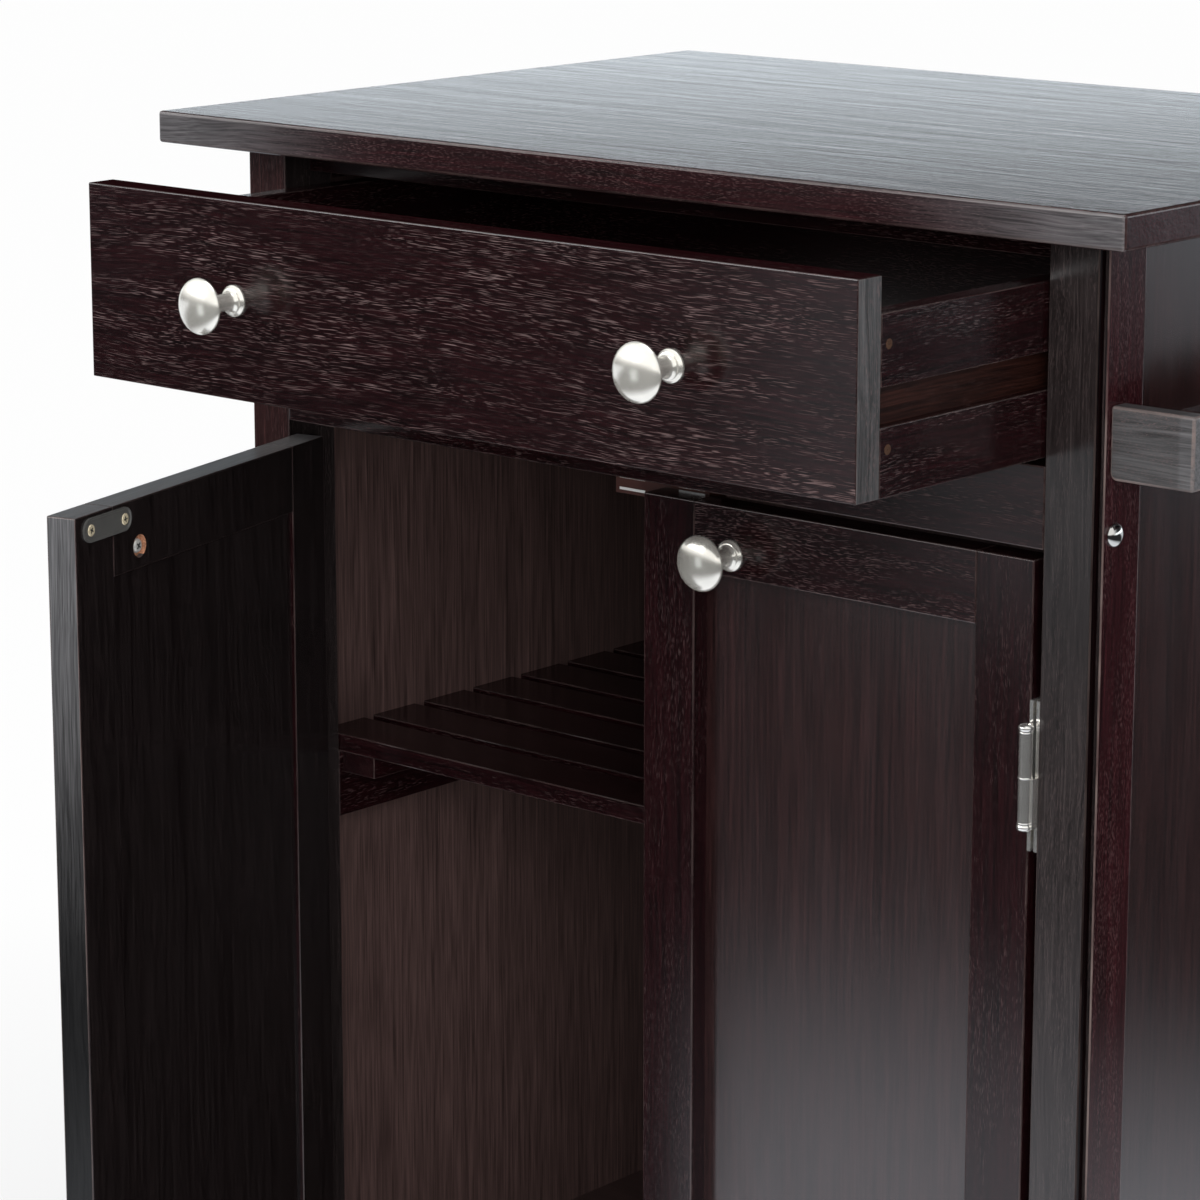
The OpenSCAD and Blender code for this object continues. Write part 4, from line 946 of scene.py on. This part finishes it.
def add_head(mesh, place, axis, radius, height, spin):
    """A screw head with a cross recess, standing on a place along the axis; returns the recess's faces."""
    before = set(mesh.faces)
    foot = bmesh.ops.create_circle(mesh, cap_ends=True, radius=radius, segments=32)["verts"]
    loop = list({edge for vert in foot for edge in vert.link_edges})
    reached = 1.0
    for wide, share in HEAD_RINGS:
        loop = raise_loop(mesh, loop, wide / reached, height * share)
        reached = wide
    arm, half = radius * 0.5, radius * 0.13
    cross = [mesh.verts.new(Matrix.Rotation(math.pi / 2 * k, 3, "Z") @ Vector((x, y, height * 1.03)))
             for k in range(4) for x, y in ((arm, -half), (arm, half), (half, half))]
    rim = [mesh.edges.new(pair) for pair in zip(cross, cross[1:] + cross[:1])]
    bmesh.ops.triangle_fill(mesh, edges=loop + rim, use_beauty=True, use_dissolve=False, normal=(0, 0, 1))
    inside = [face for face in since(mesh, before) if all(vert in cross for vert in face.verts)]
    bmesh.ops.delete(mesh, geom=inside, context="FACES_ONLY")
    solid = set(mesh.faces)
    bmesh.ops.contextual_create(mesh, geom=raise_loop(mesh, rim, 0.7, height * 0.1))
    fresh = since(mesh, before)
    bmesh.ops.recalc_face_normals(mesh, faces=fresh)
    stand(mesh, fresh, place, axis, spin)
    for face in fresh:
        face.smooth = len(face.verts) == 4
    return since(mesh, solid)


def add_screw(mesh, points, spin):
    """A screw in the place of a CAD solid: a short shank and a head where the solid is widest.

    Returns the faces of its cross recess.
    """
    low, high = spread(points)
    size, middle = high - low, (low + high) / 2
    axis = max(range(3), key=lambda i: size[i])
    others = [i for i in range(3) if i != axis]

    def width_at(level):
        near = [point - middle for point in points if abs(point[axis] - level) < 1e-5]
        return max((math.hypot(*(point[i] for i in others)) for point in near), default=0.0)

    ends = {-1: width_at(low[axis]), 1: width_at(high[axis])}
    way = max(ends, key=ends.get)
    radius, shank, length = ends[way], ends[way] * 0.5, size[axis] * 0.6
    direction, tip = Vector((0, 0, 0)), middle.copy()
    direction[axis] = way
    tip[axis] = high[axis] if way > 0 else low[axis]
    raised = width_at(tip[axis] - way * PAN_HEIGHT) > radius * 0.9
    height, depth = (PAN_HEIGHT, PAN_HEIGHT) if raised else (SUNK_HEIGHT, SUNK_SEAT)
    seat = tip - direction * depth
    add_turned(mesh, [(0, -length), (shank, -length), (shank, 0), (0, 0)], seat, direction, 16)
    return add_head(mesh, seat, direction, radius, height, spin)


class CART_OT_screws(bpy.types.Operator):
    """Drive the screws, with their cross recesses"""
    bl_idname = "cart.screws"
    bl_label = "Screws"

    def execute(self, context):
        short = 0.02
        for node, body, turn in (("frame_screws", "cabinet", None), ("drawer_knob_screws", "drawer", None),
                                 ("left_door_screws", "left_door", OPENED),
                                 ("right_door_screws", "right_door", None)):
            mesh, recesses = begin(), []
            for i, points in enumerate(islands(node, turn)):
                before = set(mesh.faces)
                recesses += add_screw(mesh, points, 0.4 + 0.9 * i)
                low, high = spread(points)
                if high.y - low.y < short:
                    mark_material(since(mesh, before), 1)
            mark_material(recesses, 2)
            small = "brassy" if "door" in node else "zinc"
            piece(f"{node}_driven", mesh, body, ["zinc", small, "recess"], [node], turn)
        return {"FINISHED"}


class CART_OT_bolts(bpy.types.Operator):
    """Set the dome-headed bolts"""
    bl_idname = "cart.bolts"
    bl_label = "Dome bolts"

    def execute(self, context):
        mesh, height, rim, length = begin(), 0.004, 0.0005, 0.05
        for low, high in solids("frame_bolts"):
            middle, radius = (low + high) / 2, (high.z - low.z) / 2
            out = 1 if middle.x > 0 else -1
            tip = high.x if out > 0 else low.x
            seat = Vector((tip - out * height, middle.y, middle.z))
            dome = [(radius * math.cos(a), rim + (height - rim) * math.sin(a)) for a in quarter(12)[:-1]]
            shank = [(0, -length), (radius * 0.5, -length), (radius * 0.5, 0), (radius, 0)]
            add_turned(mesh, shank + dome + [(0, height)], seat, (out, 0, 0), 48)
        piece("frame_bolts_domed", mesh, "cabinet", ["bolt"], ["frame_bolts"])
        return {"FINISHED"}


class CART_OT_hinges(bpy.types.Operator):
    """Polish the hinges and ring their barrels"""
    bl_idname = "cart.hinges"
    bl_label = "Hinges"

    def execute(self, context):
        for node in ("hinge_frame_leaves", "left_hinge_leaves", "right_hinge_leaves"):
            paint(node, "hinge")
        ball = [(0, 0), (0.0026, 0.0003), (0.0038, 0.0012), (0.0041, 0.0022), (0.0038, 0.0032),
                (0.0031, 0.0038), (0.0037, 0.0042), (0.0037, 0.0047), (0.0018, 0.0048)]
        core, ring, half = 0.0018, 0.0038, 0.0004
        mesh = begin()
        for low, high in solids("hinge_pins"):
            tall = high.z - low.z
            foot = Vector(((low.x + high.x) / 2, (low.y + high.y) / 2, low.z))
            under, over = tall / 2 - half, tall / 2 + half
            seam = [(core, under), (ring, under), (ring, over), (core, over)]
            outline = ball + seam + [(radius, tall - height) for radius, height in reversed(ball)]
            add_turned(mesh, outline, foot, (0, 0, 1), 40)
        piece("hinge_pins_ringed", mesh, "cabinet", ["hinge"], ["hinge_pins"])
        return {"FINISHED"}


class CART_OT_catch(bpy.types.Operator):
    """Fit the magnetic catch and the doors' strike plates"""
    bl_idname = "cart.catch"
    bl_label = "Catch and strikes"

    def execute(self, context):
        paint("catch_case", "catch")
        paint("catch_poles", "pole")
        corners, rim, lip = 32, 0.0009, 0.0003
        for side, turn in DOORS:
            low, high = solids(f"{side}_strike_plate", turn)[0]
            middle, radius = (low + high) / 2, (high.z - low.z) / 2
            reach = (high.x - low.x) / 2 - radius
            ring = [(middle.x + math.copysign(reach, math.cos(a)) + radius * math.cos(a), low.y,
                     middle.z + radius * math.sin(a))
                    for a in (math.tau * (k + 0.5) / corners for k in range(corners))]
            mesh = begin()
            faces, top = add_prism(mesh, ring, Vector((0, high.y - low.y, 0)))
            cap = next(face for face in faces if all(vert in top for vert in face.verts))
            bmesh.ops.inset_individual(mesh, faces=[cap], thickness=rim, depth=0.0)
            bmesh.ops.inset_individual(mesh, faces=[cap], thickness=lip, depth=-lip)
            piece(f"{side}_strike_plate_pressed", mesh, f"{side}_door", ["plate"],
                  [f"{side}_strike_plate"], turn)
        return {"FINISHED"}


class CART_OT_casters(bpy.types.Operator):
    """Dress the casters: treads, cores, forks, axles and pedals"""
    bl_idname = "cart.casters"
    bl_label = "Casters"

    def execute(self, context):
        bore, boss, web, flange, ribs = 0.00405, 0.009, 0.0065, 0.0092, 6
        rib_low, rib_high = Vector((-0.0086, 0.0085, -0.0011)), Vector((0.0086, 0.0, 0.0011))
        for place in PLACES:
            low, high = box(f"wheel_{place}")
            middle, radius, hub = (low + high) / 2, (high.z - low.z) / 2, (high.x - low.x) / 2
            rim = radius - 0.0068
            tread = rounded(mirrored([(rim, 0.01), (radius - 0.0012, 0.01), (radius, 0.006)]), 0.0025, 4)
            mesh = begin()
            add_turned(mesh, tread + [tread[0]], middle, (1, 0, 0), 96)
            piece(f"wheel_{place}_tread", mesh, f"wheel_{place}", ["rubber"],
                  [f"wheel_{place}"])
            core = rounded(mirrored([(bore, hub), (boss, hub), (boss + 0.0008, web), (radius - 0.0085, web),
                                     (radius - 0.008, flange), (rim, flange)]), 0.0006, 3)
            mesh = begin()
            add_turned(mesh, core + [core[0]], middle, (1, 0, 0), 72)
            rib_high.y = radius - 0.0075
            for k in range(ribs):
                rib = add_board(mesh, rib_low, rib_high, radius=0.0005, seed=0.0, segments=2)
                spun = Matrix.Translation(middle) @ Matrix.Rotation(math.tau * k / ribs, 4, "X")
                bmesh.ops.transform(mesh, matrix=spun, verts=points_of(rib))
            piece(f"wheel_{place}_core", mesh, f"wheel_{place}", ["hub"])
            paint(f"fork_{place}", "pressed")
            paint(f"axles_{place}", "bolt")
        for side in ("left", "right"):
            paint(f"brake_{side}", "pedal")
        paint("caster_stems", "pressed")
        paint("stem_inserts", "zinc")
        return {"FINISHED"}


# Floor, light and camera

WHITE = (1.0, 1.0, 1.0)
COOL = (0.88, 0.95, 1.0)
FLOOR_REACH = 12.0
KEY_PLACE = (1.9, -2.3, 1.5)
LEFT_PLACE = (-2.0, -2.6, 2.4)

# Where the camera stands, how far it turns left and down, and its focal length in picture widths
CAMERA_PLACE = (1.39696, -1.729728, 1.1274)
CAMERA_YAW = math.radians(41.135)
CAMERA_PITCH = math.radians(12.183)
FOCAL_WIDTHS = 4124.5 / 1200
SENSOR_WIDTH = 36
PICTURE_SHIFT = -0.06


def light_world(scene):
    """White to the camera; in shine and light, bright in front and with a low bright band behind."""
    world = bpy.data.worlds.new("white studio")
    world.use_nodes = True
    scene.world = world
    add = adder(world.node_tree)
    ray = add("LightPath").outputs
    way = add("SeparateXYZ", _0=add("TexCoord").outputs["Generated"]).outputs
    seen = maths(add, "MAXIMUM", ray["Is Camera Ray"], ray["Is Transmission Ray"])
    behind = mapped(add, way["Y"], -0.2, 0.6, 0.0, 1.0, "SMOOTHSTEP")
    front_level = mapped(add, way["Z"], -0.02, 0.16, 0.04, 1.0, "SMOOTHSTEP")
    back_level = mapped(add, way["Z"], 0.085, 0.124, 2.1, 0.04, "SMOOTHSTEP")
    level = add("Mix", data_type="FLOAT", _0=behind, _2=front_level, _3=back_level).outputs[0]
    room = scaled(add, blend(add, behind, WHITE, (0.86, 0.94, 1.0)), level)
    fill(world.node_tree.nodes["Background"], Color=blend(add, seen, room, WHITE))


def lay_floor(scene):
    """A pale floor that fades into the white; in reflections it glows, near the cart and far to the back
    left, as painted light.
    """
    material, shader, add, place = new_material("pale floor")
    fill(shader, Base_Color=(0.85, 0.85, 0.85, 1), Roughness=0.6)
    ray, axes = add("LightPath").outputs, add("SeparateXYZ", _0=place).outputs
    distance = add("VectorMath", operation="LENGTH", _0=place).outputs["Value"]
    leftward = maths(add, "SUBTRACT", axes["Y"], axes["X"])
    near = mapped(add, distance, 0.9, 1.5, 1.0, 0.0)
    far = mapped(add, leftward, 0.8, 2.0, 0.03, 0.8)
    strength = maths(add, "MAXIMUM", maths(add, "MAXIMUM", near, far), ray["Is Camera Ray"])
    tint = blend(add, ray["Is Camera Ray"], (0.88, 0.92, 1.0), WHITE)
    glow = add("Emission", Color=tint, Strength=strength)
    open_floor = mapped(add, distance, 0.5, 1.5, 0.55, 0.97)
    # Painted light: to reflections the floor is all glow, bright near the cart and far to the back left
    part = maths(add, "MULTIPLY_ADD", ray["Is Camera Ray"], open_floor, ray["Is Glossy Ray"])
    mixed = add("MixShader", _0=part, _1=shader.outputs[0], _2=glow.outputs[0])
    fill(material.node_tree.nodes["Material Output"], Surface=mixed.outputs[0])
    mesh = bmesh.new()
    bmesh.ops.create_grid(mesh, x_segments=1, y_segments=1, size=FLOOR_REACH)
    data = bpy.data.meshes.new("studio_floor")
    mesh.to_mesh(data)
    mesh.free()
    data.materials.append(material)
    floor = bpy.data.objects.new("studio_floor", data)
    scene.collection.objects.link(floor)


def lamp(name, place, target, size, power, colour=WHITE, lights=True, shines=True):
    """A soft box: it may only light surfaces, or only show in their shine."""
    data = bpy.data.lights.new(name, "AREA")
    data.shape = "RECTANGLE"
    data.size, data.size_y = size
    data.energy = power
    data.color = colour
    made = bpy.data.objects.new(name, data)
    made.location = place
    made.rotation_mode = "QUATERNION"
    made.rotation_quaternion = (Vector(target) - Vector(place)).to_track_quat("-Z", "Y")
    made.visible_camera = False
    made.visible_diffuse = lights
    made.visible_glossy = shines
    bpy.context.scene.collection.objects.link(made)


def set_camera(scene):
    """The camera of the front right view."""
    data = bpy.data.cameras.new("photo camera")
    data.sensor_width = SENSOR_WIDTH
    data.lens = SENSOR_WIDTH * FOCAL_WIDTHS
    data.shift_y = PICTURE_SHIFT
    data.clip_start, data.clip_end = 0.1, 60
    camera = bpy.data.objects.new("photo camera", data)
    camera.location = CAMERA_PLACE
    level = math.cos(CAMERA_PITCH)
    look = Vector((-math.sin(CAMERA_YAW) * level, math.cos(CAMERA_YAW) * level, -math.sin(CAMERA_PITCH)))
    camera.rotation_mode = "QUATERNION"
    camera.rotation_quaternion = look.to_track_quat("-Z", "Y")
    scene.collection.objects.link(camera)
    scene.camera = camera


class CART_OT_stage(bpy.types.Operator):
    """Set the pale floor, the soft lights and the camera"""
    bl_idname = "cart.stage"
    bl_label = "Studio"

    def execute(self, context):
        scene = context.scene
        scene.view_settings.view_transform = "Standard"
        light_world(scene)
        lay_floor(scene)
        lamp("key softbox", KEY_PLACE, (0, 0, 0.55), (1.5, 1.5), 48, shines=False)
        lamp("key sheen", KEY_PLACE, (0, 0, 0.55), (1.5, 1.5), 14, lights=False)
        lamp("low front strip", (-1.1, -2.3, 0.34), (0.2, -0.1, 0.6), (0.56, 0.6), 0.6, COOL)
        lamp("front left softbox", LEFT_PLACE, (0, 0, 0.8), (1.8, 1.1), 44, shines=False)
        lamp("front left sheen", LEFT_PLACE, (0, 0, 0.8), (2.6, 1.8), 75, lights=False)
        lamp("top light", (0.1, 0.2, 2.9), (0, 0, 0.8), (1.8, 1.4), 12)
        set_camera(scene)
        return {"FINISHED"}


# Panel and registration

STEPS = (CART_OT_worktop, CART_OT_posts, CART_OT_rails, CART_OT_shelf, CART_OT_drawer, CART_OT_doors,
         CART_OT_handle, CART_OT_knobs, CART_OT_screws, CART_OT_bolts, CART_OT_hinges, CART_OT_catch,
         CART_OT_casters, CART_OT_stage)


class CART_PT_dressing(bpy.types.Panel):
    """Lists the cart's sizes, colours and making steps"""
    bl_idname = "CART_PT_dressing"
    bl_label = "Kitchen Cart"
    bl_space_type = "VIEW_3D"
    bl_region_type = "UI"
    bl_category = "Kitchen Cart"

    def draw(self, context):
        for group in (context.scene.cart_sizes, context.scene.cart_colours):
            column = self.layout.column(align=True)
            for name in group.__annotations__:
                column.prop(group, name)
        column = self.layout.column(align=True)
        for step in STEPS:
            column.operator(step.bl_idname)


CLASSES = (CartSizes, CartColours) + STEPS + (CART_PT_dressing,)


def register():
    for each in CLASSES:
        bpy.utils.register_class(each)
    bpy.types.Scene.cart_sizes = bpy.props.PointerProperty(type=CartSizes)
    bpy.types.Scene.cart_colours = bpy.props.PointerProperty(type=CartColours)


def unregister():
    del bpy.types.Scene.cart_colours
    del bpy.types.Scene.cart_sizes
    for each in reversed(CLASSES):
        bpy.utils.unregister_class(each)


def main():
    register()
    for step in STEPS:
        group, name = step.bl_idname.split(".")
        getattr(getattr(bpy.ops, group), name)()
    bpy.context.view_layer.update()


if __name__ == "__main__":
    main()
